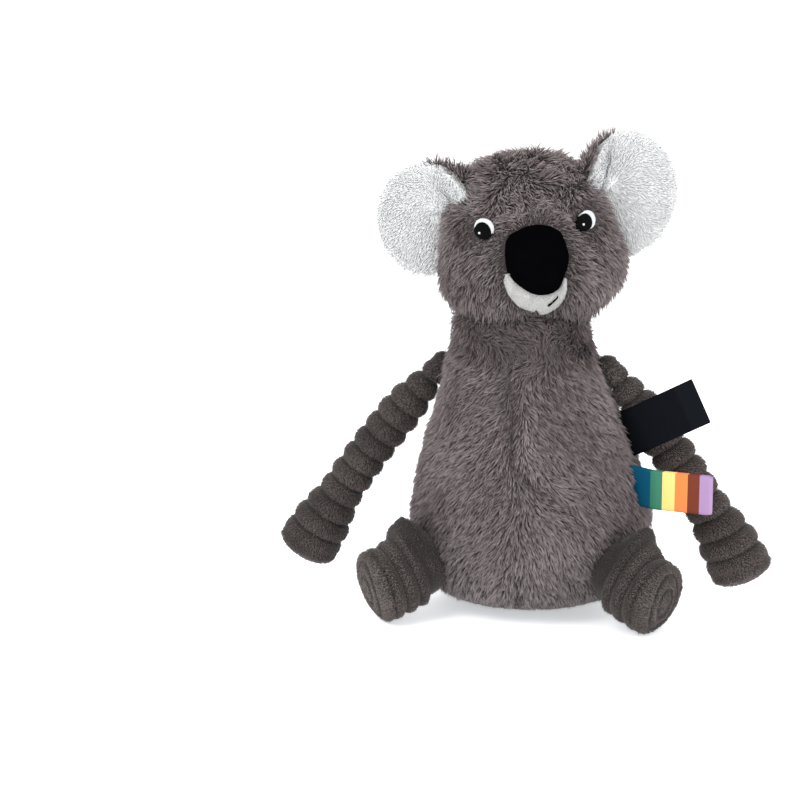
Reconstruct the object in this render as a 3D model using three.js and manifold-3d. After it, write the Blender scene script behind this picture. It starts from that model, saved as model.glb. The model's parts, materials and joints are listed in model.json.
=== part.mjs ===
// A seated plush koala with a pear-shaped body, corduroy arms and legs and cupped ears.
// Millimetres and degrees. The toy faces -Y, +Z is up, and its own left side is +X.
// The origin is the centre of the flat seat, on the surface that the toy sits on.

import * as THREE from 'three';
import { mergeVertices } from 'three/addons/utils/BufferGeometryUtils.js';
import Module from 'manifold-3d';

const wasm = await Module();
wasm.setup();

// Driving dimensions of the body
const seatRadius = 43;
const bellyRadius = 80;
const bellyHeight = 64;
const neckRadius = 46.5;
const neckHeight = 186;
const neckDomeHeight = 24;
const gatherRadius = 14;
const furBacking = 3.2;
const flankStraightShare = 0.65;

// Driving dimensions of the side seams, which run from the hips to the shoulders
const hipSeamAngle = 51;
const shoulderSeamAngle = 90;

// Driving dimensions of the head, about its widest level, which is a rise above the neck
const headHalfWidth = 60;
const faceDepth = 56;
const napeDepth = 50;
const headWidestRise = 31;
const headWidestHeight = neckHeight + headWidestRise;
const crownRise = 82;
const jowlDrop = 34;
const crownSquareness = 3;
const jowlSquareness = 2;
const headTurn = 12.5;
const headTilt = 5.2;
const crownStripWidth = 46;
const browRise = 46;
const browHeight = headWidestHeight + browRise;

// Driving dimensions of the face, with its rises above the head's widest level
const noseWidth = 42.5;
const noseHeight = 43.5;
const noseRise = 17;
const noseCentreHeight = headWidestHeight + noseRise;
const nosePuff = 8.5;
const noseTaperShare = 0.18;
const noseSideShare = 0.92;
const noseEndShare = 0.9;
const lipWidth = 9.5;
const lipTipWidth = 2.2;
const lipPuff = 4;
const lipSweep = 66;
const eyeSpacing = 62;
const eyeRise = 35.8;
const eyeHeight = headWidestHeight + eyeRise;
const eyeRadius = 5.7;
const eyeWhiteRadius = 6.3;
const eyeWhiteRise = 2.6;
const eyeWhiteShift = 1.7;
const stitchHeight = 1.2;
const mouthLength = 9.5;
const mouthWidth = 1.5;
const mouthOffset = 9.5;
const mouthSlope = 35;

// Driving dimensions of the ears
const earRadius = 36;
const earOverhang = 2;
const earSpacing = (headHalfWidth + earOverhang) * 2;
const earRise = 46;
const earHeight = headWidestHeight + earRise;
const earSetBack = 4;
const earCup = 8;
const earLobe = 40;
const earLobeAngle = 142;
const earLobeSpread = 40;
const earLobeDrawShare = 0.4;
const earLobeRiseShare = 1;
const earForwardTurn = 12;
const leftEarTallShare = 1.085;
const leftEarLift = 0.9;
const earBackThickness = 4;
const earInnerThickness = 4;
const earBackMargin = 1.5;

// Driving dimensions shared by the limbs
const ribPitch = 13;
const ribDepth = 2.4;
const corduroyThickness = 2.2;

// Driving dimensions of the arms
const shoulderDrop = 28;
const shoulderHeight = neckHeight - shoulderDrop;
const shoulderClearance = 3.4;
const armRibs = 12;
const armRootRadius = 9;
const armMiddleRadius = 15.4;
const pawRadius = 20.5;
const pawDome = 9;
const armMiddleShare = 0.28;
const armEndShare = 0.72;
const armRootLean = 42;
const leftArmEndLean = 23;
const rightArmEndLean = 30;
const shoulderDishRadius = 19;

// Driving dimensions of the legs
const hipHeight = 36;
const hipClearance = 9.1;
const legAngle = 56;
const legLength = 28;
const legRibs = 3;
const legRootRadius = 16;
const legMiddleRadius = 25;
const footRadius = 25;
const footDome = 9;
const legRootLean = 68;
const legEndLean = 74;
const legMiddleShare = 0.22;

// Driving dimensions of what is sewn into the left side seam
const labelLength = 61;
const labelWidth = 30;
const labelThickness = 1.2;
const labelDrop = 37;
const labelHeight = shoulderHeight - labelDrop;
const labelTilt = 28;
const labelAngle = 64;
const ribbonLength = 56;
const ribbonWidth = 25;
const ribbonThickness = 0.8;
const ribbonLoopGap = 1.8;
const ribbonDrop = 35.5;
const ribbonHeight = labelHeight - ribbonDrop;
const ribbonAngle = 70;

// Driving dimensions of what fills the toy
const pelletBagMargin = 6;
const pelletBagRadius = seatRadius - pelletBagMargin;
const pelletBagHeight = 34;

// Clearances and overruns
const seamGap = 0.3;
const seatGap = 0.3;
const patchGap = 0.3;
const fillClearance = 0.6;
const limbFillClearance = 1.6;
const turnClearance = 0.6;
const earSeamClearance = 0.8;
const overrun = 2;
const weld = 1e-3;

// How far apart two places lie on a surface where its slope is taken
const nudgeShare = 1e-3;

// How finely the forms are divided
const torsoRows = [4, 6, 2];
const frontSegments = 6;
const backSegments = 8;
const roundSegments = 24;
const fineSegments = 48;
const cutRowsPerPart = 7;
const pocketSegments = 18;
const headRows = 13;
const limbSegments = 6;
const ballSteps = 3;
const domeSteps = 3;
const earRings = 4;
const lipColumns = 16;
const lipRows = 4;
const noseRings = 4;

const radians = THREE.MathUtils.degToRad;
const { clamp, lerp, smoothstep } = THREE.MathUtils;
const up = new THREE.Vector3(0, 0, 1);

// A horizontal direction, turned from straight ahead (-Y) towards the toy's left (+X)
function heading(angle) {
  return new THREE.Vector3(Math.sin(radians(angle)), -Math.cos(radians(angle)), 0);
}

// Even steps from one value to another, both ends included
function evenSteps(from, to, count) {
  return Array.from({ length: count + 1 }, (_, i) => lerp(from, to, i / count));
}

// Grids, patches and solids

// A closed mesh from points and triangles, in which a collapsed triangle is left out
function meshFrom(points, triangles) {
  const whole = triangles.filter(([a, b, c]) => {
    const pa = points[a];
    const pb = points[b];
    const pc = points[c];
    return pa.distanceTo(pb) > weld && pb.distanceTo(pc) > weld && pc.distanceTo(pa) > weld;
  });
  const geometry = new THREE.BufferGeometry();
  geometry.setAttribute(
    'position',
    new THREE.Float32BufferAttribute(points.flatMap((p) => p.toArray()), 3),
  );
  geometry.setIndex(whole.flat());
  return mergeVertices(geometry, weld);
}

// A thick patch between an outer and an inner surface, each a function of (column, row)
function patch(outer, inner, columns, rows) {
  const width = columns + 1;
  const points = [];
  for (const surface of [outer, inner]) {
    for (let row = 0; row <= rows; row++) {
      for (let column = 0; column <= columns; column++) points.push(surface(column, row));
    }
  }
  const back = width * (rows + 1);
  const at = (column, row, side) => side * back + row * width + column;
  const triangles = [];
  const quad = (a, b, c, d) => triangles.push([a, b, c], [a, c, d]);
  for (let row = 0; row < rows; row++) {
    for (let column = 0; column < columns; column++) {
      const ring = [[column, row], [column + 1, row], [column + 1, row + 1], [column, row + 1]];
      const [a, b, c, d] = ring.map(([i, j]) => at(i, j, 1));
      quad(...ring.map(([i, j]) => at(i, j, 0)));
      triangles.push([a, c, b], [a, d, c]);
    }
  }
  for (let row = 0; row < rows; row++) {
    quad(at(0, row, 1), at(0, row, 0), at(0, row + 1, 0), at(0, row + 1, 1));
    quad(at(columns, row, 0), at(columns, row, 1), at(columns, row + 1, 1), at(columns, row + 1, 0));
  }
  for (let column = 0; column < columns; column++) {
    quad(at(column, 0, 1), at(column + 1, 0, 1), at(column + 1, 0, 0), at(column, 0, 0));
    quad(at(column, rows, 0), at(column + 1, rows, 0), at(column + 1, rows, 1), at(column, rows, 1));
  }
  return meshFrom(points, triangles);
}

// A closed solid of rings, each ring a function of (column, row), with a point at each end
function ringSolid(ring, columns, rows, first, last) {
  const points = [];
  for (let row = 0; row <= rows; row++) {
    for (let column = 0; column < columns; column++) points.push(ring(column, row));
  }
  const bottom = points.push(first) - 1;
  const top = points.push(last) - 1;
  const at = (column, row) => row * columns + (column % columns);
  const triangles = [];
  for (let row = 0; row < rows; row++) {
    for (let column = 0; column < columns; column++) {
      const corners = [at(column, row), at(column + 1, row), at(column + 1, row + 1), at(column, row + 1)];
      triangles.push([corners[0], corners[1], corners[2]], [corners[0], corners[2], corners[3]]);
    }
  }
  for (let column = 0; column < columns; column++) {
    triangles.push([bottom, at(column + 1, 0), at(column, 0)]);
    triangles.push([top, at(column, rows), at(column + 1, rows)]);
  }
  return meshFrom(points, triangles);
}

// The point at (u, v) of a surface, moved inwards along the surface's own normal
function insetPoint(surface, u, v, depth) {
  const along = surface(u + nudgeShare, v).sub(surface(u - nudgeShare, v));
  const across = surface(u, v + nudgeShare).sub(surface(u, v - nudgeShare));
  return surface(u, v).addScaledVector(along.cross(across).normalize(), -depth);
}

// A solid for joining and cutting, from a geometry
function solidOf(geometry) {
  const bare = geometry.clone();
  bare.deleteAttribute('normal');
  bare.deleteAttribute('uv');
  const merged = mergeVertices(bare, weld);
  const vertProperties = Float32Array.from(merged.attributes.position.array);
  const triVerts = Uint32Array.from(merged.index.array);
  return new wasm.Manifold(new wasm.Mesh({ numProp: 3, vertProperties, triVerts }));
}

// The geometry of a solid
function geometryOf(solid) {
  const mesh = solid.getMesh();
  const geometry = new THREE.BufferGeometry();
  geometry.setAttribute('position', new THREE.BufferAttribute(Float32Array.from(mesh.vertProperties), 3));
  geometry.setIndex([...mesh.triVerts]);
  return geometry;
}

// What is left of one geometry once others are cut away from it
function cut(geometry, ...tools) {
  return geometryOf(tools.reduce((left, tool) => left.subtract(solidOf(tool)), solidOf(geometry)));
}

// The part of one geometry that lies inside another
function inside(geometry, tool) {
  return geometryOf(solidOf(geometry).intersect(solidOf(tool)));
}

// A box between two corners
function boxBetween(low, high) {
  const size = high.clone().sub(low);
  const middle = high.clone().add(low).multiplyScalar(1 / 2);
  return new THREE.BoxGeometry(...size.toArray()).translate(...middle.toArray());
}

// The body

// Radius and height of the body's outline: 0 to 1 seat to belly, to 2 flank, to 3 neck dome
function torsoOutline(v) {
  if (v < 1) {
    const angle = (v * Math.PI) / 2;
    return {
      radius: lerp(seatRadius, bellyRadius, Math.sin(angle)),
      height: bellyHeight * (1 - Math.cos(angle)),
    };
  }
  if (v < 2) {
    const t = v - 1;
    const eased = (1 + Math.cos(Math.PI * t)) / 2;
    const fall = lerp(eased, 1 - t, flankStraightShare);
    return { radius: lerp(neckRadius, bellyRadius, fall), height: lerp(bellyHeight, neckHeight, t) };
  }
  const angle = ((v - 2) * Math.PI) / 2;
  return {
    radius: neckRadius * Math.cos(angle),
    height: neckHeight + neckDomeHeight * Math.sin(angle),
  };
}

// The body's surface: u is the angle in degrees from straight ahead, v as in the outline
function torsoSurface(u, v) {
  const { radius, height } = torsoOutline(v);
  return heading(u).multiplyScalar(radius).addScaledVector(up, height);
}

// The outline's place at a height on the flank, found by halving
function torsoPlaceAt(height) {
  let [low, high] = [0, 2];
  while (high - low > nudgeShare) {
    const middle = (low + high) / 2;
    if (torsoOutline(middle).height < height) low = middle;
    else high = middle;
  }
  return low;
}

const gatherPlace = 2 + (2 / Math.PI) * Math.acos(gatherRadius / neckRadius);
const torsoPlaces = [
  ...evenSteps(0, 1, torsoRows[0]).slice(0, -1),
  ...evenSteps(1, 2, torsoRows[1]).slice(0, -1),
  ...evenSteps(2, gatherPlace, torsoRows[2]),
];

// The side seam's angle at a height: the hips sit further forward than the shoulders
function seamAngleAt(height) {
  const t = clamp((height - hipHeight) / (shoulderHeight - hipHeight), 0, 1);
  return lerp(hipSeamAngle, shoulderSeamAngle, t);
}

// The side seam on the toy's left, the one on its right, and the two middle seams
const leftSeam = (height) => seamAngleAt(height);
const rightSeam = (height) => -seamAngleAt(height);
const frontSeam = () => 0;
const backSeam = () => 180;
const backSeamAgain = () => -180;

// The body's four panels in turn, each from one seam to the next
const torsoPanels = [
  { name: 'torso_front_left', from: frontSeam, to: leftSeam, segments: frontSegments },
  { name: 'torso_back_left', from: leftSeam, to: backSeam, segments: backSegments },
  { name: 'torso_back_right', from: backSeamAgain, to: rightSeam, segments: backSegments },
  { name: 'torso_front_right', from: rightSeam, to: frontSeam, segments: frontSegments },
];

// A point of a panel at a column and a place on the outline, inset by a depth
function panelPoint(panel, column, v, depth, trim) {
  const { radius, height } = torsoOutline(v);
  const gap = THREE.MathUtils.radToDeg(trim / radius);
  const u = lerp(panel.from(height) + gap, panel.to(height) - gap, column / panel.segments);
  return insetPoint(torsoSurface, u, Math.max(v, nudgeShare * 2), depth);
}

// The fur skin of one panel
function torsoPanel(panel) {
  const at = (column, row, depth) => panelPoint(panel, column, torsoPlaces[row], depth, seamGap / 2);
  const rows = torsoPlaces.length - 1;
  return patch((i, j) => at(i, j, 0), (i, j) => at(i, j, furBacking), panel.segments, rows);
}

// A body of revolution along the torso's outline, moved outwards by a margin
function torsoEnvelope(margin, fromPlace, segments) {
  const places = evenSteps(fromPlace, 3, Math.round((3 - fromPlace) * cutRowsPerPart));
  const rim = places.map((v) => {
    const place = clamp(v, nudgeShare * 2, 3 - nudgeShare * 2);
    const point = insetPoint(torsoSurface, shoulderSeamAngle, place, -margin);
    return new THREE.Vector2(Math.max(point.x, 0), point.z);
  });
  const outline = [new THREE.Vector2(0, rim[0].y), ...rim, new THREE.Vector2(0, rim.at(-1).y)];
  return new THREE.LatheGeometry(outline, segments).rotateX(Math.PI / 2);
}

// The disc that closes the body below, flat on the surface that the toy sits on
function torsoBase() {
  const radius = seatRadius - furBacking - seamGap;
  return new THREE.CylinderGeometry(radius, radius, furBacking, roundSegments)
    .rotateX(Math.PI / 2)
    .translate(0, 0, furBacking / 2);
}

// The body's filling, which stands on the base and goes round the bag of pellets
function torsoStuffing() {
  const depth = furBacking + fillClearance;
  const floor = furBacking + seatGap;
  const columns = torsoPanels.flatMap((panel) => (
    evenSteps(0, panel.segments - 1, panel.segments - 1).map((column) => ({ panel, column }))
  ));
  const places = torsoPlaces.filter((v) => panelPoint(torsoPanels[0], 0, v, depth, 0).z > floor);
  const ring = (i, j) => panelPoint(columns[i].panel, columns[i].column, places[j], depth, 0);
  const low = ring(0, 0).z;
  const body = ringSolid(
    ring,
    columns.length,
    places.length - 1,
    new THREE.Vector3(0, 0, low),
    new THREE.Vector3(0, 0, torsoOutline(gatherPlace).height - furBacking),
  );
  const radius = pelletBagRadius + overrun;
  const foot = new THREE.CylinderGeometry(radius, radius, low - floor + overrun, roundSegments)
    .rotateX(Math.PI / 2)
    .translate(0, 0, (low + floor + overrun) / 2);
  const filling = geometryOf(solidOf(body).add(solidOf(foot)));
  return cut(filling, pelletBag(seatGap, overrun));
}

// The bag of pellets in the seat, a flat bun that stands on the base
function pelletBag(margin, below) {
  const radius = pelletBagRadius + margin;
  const height = pelletBagHeight + margin;
  const floor = furBacking + seatGap;
  const bun = evenSteps(0, Math.PI / 2, ballSteps + 1).map(
    (angle) => new THREE.Vector2(radius * Math.cos(angle), floor + height * Math.sin(angle)),
  );
  const foot = below ? [new THREE.Vector2(0, floor - below), new THREE.Vector2(radius, floor - below)] : [];
  const start = below ? foot : [new THREE.Vector2(0, floor)];
  bun[bun.length - 1].x = 0;
  return new THREE.LatheGeometry([...start, ...bun], roundSegments).rotateX(Math.PI / 2);
}

// Limbs

// The limb's own radius along its length: root, middle, then the paw or foot
function limbSwell(shape, s) {
  const t = clamp(s / shape.length, 0, 1);
  const root = lerp(shape.rootRadius, shape.middleRadius, smoothstep(t, 0, shape.middleShare));
  return lerp(root, shape.endRadius, smoothstep(t, shape.endShare, 1));
}

// The limb's direction and its place at a distance along its bent centre line
function limbPlace(shape, s) {
  const start = radians(shape.rootLean);
  const bend = radians(shape.endLean - shape.rootLean) / shape.length;
  const run = clamp(s, 0, shape.length);
  const lean = start + bend * run;
  const out = (Math.cos(start) - Math.cos(lean)) / bend;
  const down = (Math.sin(lean) - Math.sin(start)) / bend;
  const tangent = shape.out.clone().multiplyScalar(Math.sin(lean)).addScaledVector(up, -Math.cos(lean));
  const point = shape.pivot.clone().addScaledVector(shape.out, out).addScaledVector(up, -down);
  return { tangent, point: point.addScaledVector(tangent, s - run) };
}

// Distance and radius of each ring of a limb: the root ball, the ribs and the domed end
function limbRings(shape, depth, wale) {
  const ball = shape.rootRadius - depth;
  const rings = evenSteps(Math.PI / 2, 0, ballSteps).map((angle) => ({
    s: -ball * Math.sin(angle),
    radius: ball * Math.cos(angle),
  }));
  rings[0].radius = 0;
  for (let half = 1; half <= shape.ribs * 2; half++) {
    const s = (half * shape.length) / shape.ribs / 2;
    const groove = half % 2 || half === shape.ribs * 2 ? 0 : wale;
    rings.push({ s, radius: limbSwell(shape, s) - depth - groove });
  }
  for (const angle of evenSteps(0, Math.PI / 2, domeSteps).slice(1)) {
    rings.push({
      s: shape.length + (shape.dome - depth) * Math.sin(angle),
      radius: (shape.endRadius - depth) * Math.cos(angle),
    });
  }
  rings.at(-1).radius = 0;
  return rings;
}

// A point of a limb's ring, at an angle from the limb's own side direction
function limbPoint(shape, ring, angle) {
  const { tangent, point } = limbPlace(shape, ring.s);
  const side = shape.out.clone().cross(up);
  const rise = tangent.clone().cross(side);
  return point
    .addScaledVector(side, ring.radius * Math.cos(angle))
    .addScaledVector(rise, ring.radius * Math.sin(angle));
}

// One half of a limb's sewn corduroy, on the side that the limb's side direction gives
function limbHalf(shape, sign) {
  const outerRings = limbRings(shape, 0, ribDepth);
  const innerRings = limbRings(shape, ribDepth + corduroyThickness, 0);
  const angles = evenSteps(-Math.PI / 2, Math.PI / 2, limbSegments);
  const turn = sign > 0 ? 0 : Math.PI;
  const shift = shape.out.clone().cross(up).multiplyScalar((sign * seamGap) / 2);
  const half = patch(
    (i, j) => limbPoint(shape, outerRings[j], angles[i] + turn),
    (i, j) => limbPoint(shape, innerRings[j], angles[i] + turn),
    limbSegments,
    outerRings.length - 1,
  );
  return half.translate(...shift.toArray());
}

// A limb's filling, inside both halves
function limbStuffing(shape) {
  const rings = limbRings(shape, ribDepth + corduroyThickness + limbFillClearance, 0);
  const plain = rings.filter((ring, i) => i < ballSteps || i >= rings.length - domeSteps || i % 2);
  const body = plain.slice(1, -1);
  const columns = limbSegments + 2;
  return ringSolid(
    (column, row) => limbPoint(shape, body[row], (column / columns) * Math.PI * 2),
    columns,
    body.length - 1,
    limbPoint(shape, plain[0], 0),
    limbPoint(shape, plain.at(-1), 0),
  );
}

// A point just outside the body, at a heading and height, moved out along the body's normal
function besideTorso(angle, height, clearance) {
  return insetPoint(torsoSurface, angle, torsoPlaceAt(height), -clearance);
}

// Where an arm turns, which way it leans and how it swells
function armShape(side, endLean) {
  return {
    pivot: besideTorso(side * shoulderSeamAngle, shoulderHeight, shoulderClearance),
    out: heading(side * shoulderSeamAngle),
    ribs: armRibs,
    length: armRibs * ribPitch,
    rootLean: armRootLean,
    endLean,
    rootRadius: armRootRadius,
    middleRadius: armMiddleRadius,
    endRadius: pawRadius,
    middleShare: armMiddleShare,
    endShare: armEndShare,
    dome: pawDome,
  };
}

// The same for a leg
function legShape(side) {
  return {
    pivot: besideTorso(side * hipSeamAngle, hipHeight, hipClearance),
    out: heading(side * legAngle),
    ribs: legRibs,
    length: legLength,
    rootLean: legRootLean,
    endLean: legEndLean,
    rootRadius: legRootRadius,
    middleRadius: legMiddleRadius,
    endRadius: footRadius,
    middleShare: legMiddleShare,
    endShare: legMiddleShare,
    dome: footDome,
  };
}

const leftArm = armShape(1, leftArmEndLean);
const rightArm = armShape(-1, rightArmEndLean);
const leftLeg = legShape(1);
const rightLeg = legShape(-1);

// The dimple in the body that a limb's root ball turns in
function rootPocket(shape) {
  return new THREE.SphereGeometry(shape.rootRadius + turnClearance, pocketSegments, pocketSegments / 2)
    .translate(...shape.pivot.toArray());
}

// The shallow dish that the arm presses round its root, about the body's own normal there
function shoulderDish(shape) {
  const surface = besideTorso(Math.sign(shape.out.x) * shoulderSeamAngle, shoulderHeight, 0);
  const normal = shape.pivot.clone().sub(surface).normalize();
  const depth = armRootRadius - shoulderClearance;
  const outline = [
    new THREE.Vector2(0, -depth),
    new THREE.Vector2(armRootRadius / 2, -depth),
    new THREE.Vector2(shoulderDishRadius, 0),
    new THREE.Vector2(shoulderDishRadius, armRootRadius),
    new THREE.Vector2(0, armRootRadius),
  ];
  const turn = new THREE.Quaternion().setFromUnitVectors(new THREE.Vector3(0, 1, 0), normal);
  return new THREE.LatheGeometry(outline, pocketSegments)
    .applyQuaternion(turn)
    .translate(...surface.toArray());
}

// The head

// Width share of the head's section at a height, from its squared-off oval
function headFullness(height) {
  const above = height > headWidestHeight;
  const t = Math.abs(height - headWidestHeight) / (above ? crownRise : jowlDrop);
  const squareness = above ? crownSquareness : jowlSquareness;
  return Math.max(1 - clamp(t, 0, 1) ** squareness, 0) ** (1 / squareness);
}

// The head's surface before it is tilted: u in degrees from straight ahead, v from -90 to 90
function headSurface(u, v) {
  const angle = radians(v);
  const above = angle > 0;
  const power = 2 / (above ? crownSquareness : jowlSquareness);
  const height = headWidestHeight + Math.sign(angle) * (above ? crownRise : jowlDrop)
    * Math.abs(Math.sin(angle)) ** power;
  const full = Math.max(Math.cos(angle), 0) ** power;
  const ahead = Math.cos(radians(u));
  return new THREE.Vector3(
    headHalfWidth * full * Math.sin(radians(u)),
    -(ahead > 0 ? faceDepth : napeDepth) * full * ahead,
    height,
  );
}

// A closed solid of the head's form, inset by a depth
function headForm(depth) {
  const angles = evenSteps(0, 360, roundSegments);
  const levels = evenSteps(-90, 90, headRows).slice(1, -1);
  return ringSolid(
    (column, row) => insetPoint(headSurface, angles[column], levels[row], depth),
    roundSegments,
    levels.length - 1,
    new THREE.Vector3(0, 0, headWidestHeight - jowlDrop + depth),
    new THREE.Vector3(0, 0, headWidestHeight + crownRise - depth),
  );
}

// Tilts and turns a piece of the head to the way the toy holds it
function poseHead(geometry) {
  return geometry
    .translate(0, 0, -headWidestHeight)
    .rotateY(radians(-headTilt))
    .translate(0, 0, headWidestHeight)
    .rotateZ(radians(headTurn));
}

// Everything of the head is cut by the neck dome that it is sewn round
const neckTool = torsoEnvelope(turnClearance, 1.5, fineSegments);

// The fur skin of the head: a crown strip from brow to nape, and a panel on either side
function headPanels() {
  const skin = cut(headForm(0), headForm(furBacking));
  const reach = headHalfWidth + faceDepth;
  const strip = (margin) => {
    const half = crownStripWidth / 2 + margin;
    const top = headWidestHeight + reach;
    const brow = boxBetween(
      new THREE.Vector3(-half, -reach, browHeight - margin),
      new THREE.Vector3(half, reach, top),
    );
    const nape = boxBetween(
      new THREE.Vector3(-half, -margin, headWidestHeight - reach),
      new THREE.Vector3(half, reach, top),
    );
    return geometryOf(solidOf(brow).add(solidOf(nape)));
  };
  const sides = cut(skin, strip(seamGap));
  const sideBox = (side) => {
    const near = (side * seamGap) / 2;
    const far = side * reach;
    return boxBetween(
      new THREE.Vector3(Math.min(near, far), -reach, headWidestHeight - reach),
      new THREE.Vector3(Math.max(near, far), reach, headWidestHeight + reach),
    );
  };
  const finish = (piece) => cut(poseHead(piece), neckTool);
  return {
    crown: finish(inside(skin, strip(0))),
    left: finish(inside(sides, sideBox(1))),
    right: finish(inside(sides, sideBox(-1))),
  };
}

function headStuffing() {
  return cut(poseHead(headForm(furBacking + seatGap)), neckTool);
}

// A point above the front of the head, raised along its normal, before the head is tilted
function facePoint(x, z, lift) {
  const depthAt = (px, pz) => {
    const full = Math.max(headFullness(pz), nudgeShare);
    const across = clamp(px / (headHalfWidth * full), -1, 1);
    return -faceDepth * full * Math.sqrt(Math.max(1 - across ** 2, 0));
  };
  const reach = headHalfWidth * nudgeShare;
  const slopeX = (depthAt(x + reach, z) - depthAt(x - reach, z)) / (2 * reach);
  const slopeZ = (depthAt(x, z + reach) - depthAt(x, z - reach)) / (2 * reach);
  const normal = new THREE.Vector3(slopeX, -1, slopeZ).normalize();
  return new THREE.Vector3(x, depthAt(x, z), z).addScaledVector(normal, lift);
}

// A round patch on the face: an outline, scaled ring by ring, with a rounded top
function facePatch(outline, centre, segments, rings, base, puff) {
  const at = (share, column) => {
    const rim = outline((column / segments) * Math.PI * 2);
    return [lerp(centre.x, rim.x, share), lerp(centre.z, rim.z, share)];
  };
  const rows = [];
  for (let i = 1; i <= rings; i++) rows.push({ share: i / rings, lift: base });
  for (let i = rings; i >= 1; i--) {
    const share = i / rings;
    const dome = Math.sqrt(Math.max(1 - share ** 2, 0));
    rows.push({ share, lift: base + Math.max(puff * dome, stitchHeight / 2) });
  }
  return ringSolid(
    (column, row) => facePoint(...at(rows[row].share, column), rows[row].lift),
    segments,
    rows.length - 1,
    facePoint(centre.x, centre.z, base),
    facePoint(centre.x, centre.z, base + Math.max(puff, stitchHeight)),
  );
}

// The nose's outline: broad and round above, drawn in below
function noseRim(angle, margin = 0) {
  const c = Math.cos(angle);
  const s = Math.sin(angle);
  const drawn = 1 - (noseTaperShare * (1 - s)) / 2;
  return {
    x: (noseWidth / 2 + margin) * Math.sign(c) * Math.abs(c) ** noseSideShare * drawn,
    z: noseCentreHeight + (noseHeight / 2 + margin) * Math.sign(s) * Math.abs(s) ** noseEndShare,
  };
}

function nose() {
  const centre = { x: 0, z: noseCentreHeight };
  return facePatch((angle) => noseRim(angle), centre, roundSegments, noseRings, patchGap, nosePuff);
}

// The white lower lip: a crescent that follows the nose's lower edge
function lip() {
  const columns = lipColumns;
  const rows = lipRows;
  const at = (column, row, base, puff) => {
    const sweep = lerp(lipSweep, -lipSweep, column / columns);
    const angle = radians(sweep - 90);
    const full = Math.cos((sweep / lipSweep) * (Math.PI / 2));
    const width = lerp(lipTipWidth, lipWidth, full);
    const across = row / rows;
    const rim = noseRim(angle, patchGap + width * across);
    return facePoint(rim.x, rim.z, base + puff * Math.sqrt(Math.sin(Math.PI * across)));
  };
  return patch(
    (i, j) => at(i, j, patchGap + stitchHeight, lipPuff - stitchHeight),
    (i, j) => at(i, j, patchGap, 0),
    columns,
    rows,
  );
}

// The short stitched mouth line on the left half of the lip
function mouth() {
  const slope = radians(mouthSlope);
  const middle = noseRim(radians(-90), lipWidth / 2);
  const centre = { x: mouthOffset, z: middle.z + mouthWidth * 2 };
  const rim = (angle) => {
    const along = (mouthLength / 2) * Math.cos(angle);
    const across = (mouthWidth / 2) * Math.sin(angle);
    return {
      x: centre.x + along * Math.cos(slope) - across * Math.sin(slope),
      z: centre.z + along * Math.sin(slope) + across * Math.cos(slope),
    };
  };
  return facePatch(rim, centre, limbSegments * 2, 1, lipPuff + patchGap * 2, stitchHeight);
}

// A circle on the face
function circleRim(x, z, radius) {
  return (angle) => ({ x: x + radius * Math.cos(angle), z: z + radius * Math.sin(angle) });
}

// A plug through the face along its normals, to cut one patch round another
function facePlug(outline, centre, segments, reach) {
  const lifts = [-reach, reach];
  return ringSolid(
    (column, row) => {
      const rim = outline((column / segments) * Math.PI * 2);
      return facePoint(rim.x, rim.z, lifts[row]);
    },
    segments,
    1,
    facePoint(centre.x, centre.z, -reach),
    facePoint(centre.x, centre.z, reach),
  );
}

// A round embroidered eye and the white crescent behind its upper left edge
function eye(side) {
  const black = { x: (side * eyeSpacing) / 2, z: eyeHeight };
  const white = { x: black.x + eyeWhiteShift, z: black.z + eyeWhiteRise };
  const segments = limbSegments * 3;
  const disc = (centre, radius) => facePatch(
    circleRim(centre.x, centre.z, radius), centre, segments, 2, patchGap, stitchHeight,
  );
  const tool = facePlug(circleRim(black.x, black.z, eyeRadius + patchGap), black, segments, lipPuff);
  return {
    black: disc(black, eyeRadius),
    white: cut(disc(white, eyeWhiteRadius), tool),
  };
}

// The ears

// A point of an ear's dish: share of the radius, angle from straight out, and a set-back
function earPoint(side, share, angle, radius, back) {
  const tallShare = side > 0 ? leftEarTallShare : 1;
  const away = (THREE.MathUtils.euclideanModulo(angle - earLobeAngle + 180, 360) - 180) / earLobeSpread;
  const lobe = Math.exp(-(away ** 2)) * share ** earLobeRiseShare;
  const reach = radius * share * (1 - earLobeDrawShare * lobe);
  const forward = earCup * share ** 2 + earLobe * lobe - back;
  return new THREE.Vector3(
    side * reach * Math.cos(radians(angle)),
    -forward,
    reach * Math.sin(radians(angle)) * tallShare,
  );
}

// One layer of an ear, a cupped disc cut where it meets the head
function earLayer(side, radius, front, thickness) {
  const rings = earRings;
  const segments = roundSegments;
  const rows = [];
  for (let i = 1; i <= rings; i++) rows.push({ share: i / rings, back: front });
  for (let i = rings; i >= 1; i--) rows.push({ share: i / rings, back: front + thickness });
  const layer = ringSolid(
    (column, row) => {
      const turn = (column / segments) * 360 * side;
      return earPoint(side, rows[row].share, side > 0 ? turn : -turn, radius, rows[row].back);
    },
    segments,
    rows.length - 1,
    new THREE.Vector3(0, front, 0),
    new THREE.Vector3(0, front + thickness, 0),
  );
  const placed = layer
    .rotateZ(radians(-side * earForwardTurn))
    .translate((side * earSpacing) / 2, earSetBack, earHeight + (side > 0 ? leftEarLift : 0));
  return poseHead(cut(side > 0 ? flipped(placed) : placed, headForm(-earSeamClearance)));
}

// The same mesh with its faces turned over
function flipped(geometry) {
  const index = geometry.index.array;
  const turned = [];
  for (let i = 0; i < index.length; i += 3) turned.push(index[i], index[i + 2], index[i + 1]);
  geometry.setIndex(turned);
  return geometry;
}

function ear(side) {
  return {
    inner: earLayer(side, earRadius - earBackMargin, 0, earInnerThickness),
    back: earLayer(side, earRadius, earInnerThickness + seatGap, earBackThickness),
  };
}

// What is sewn into the left side seam

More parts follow.
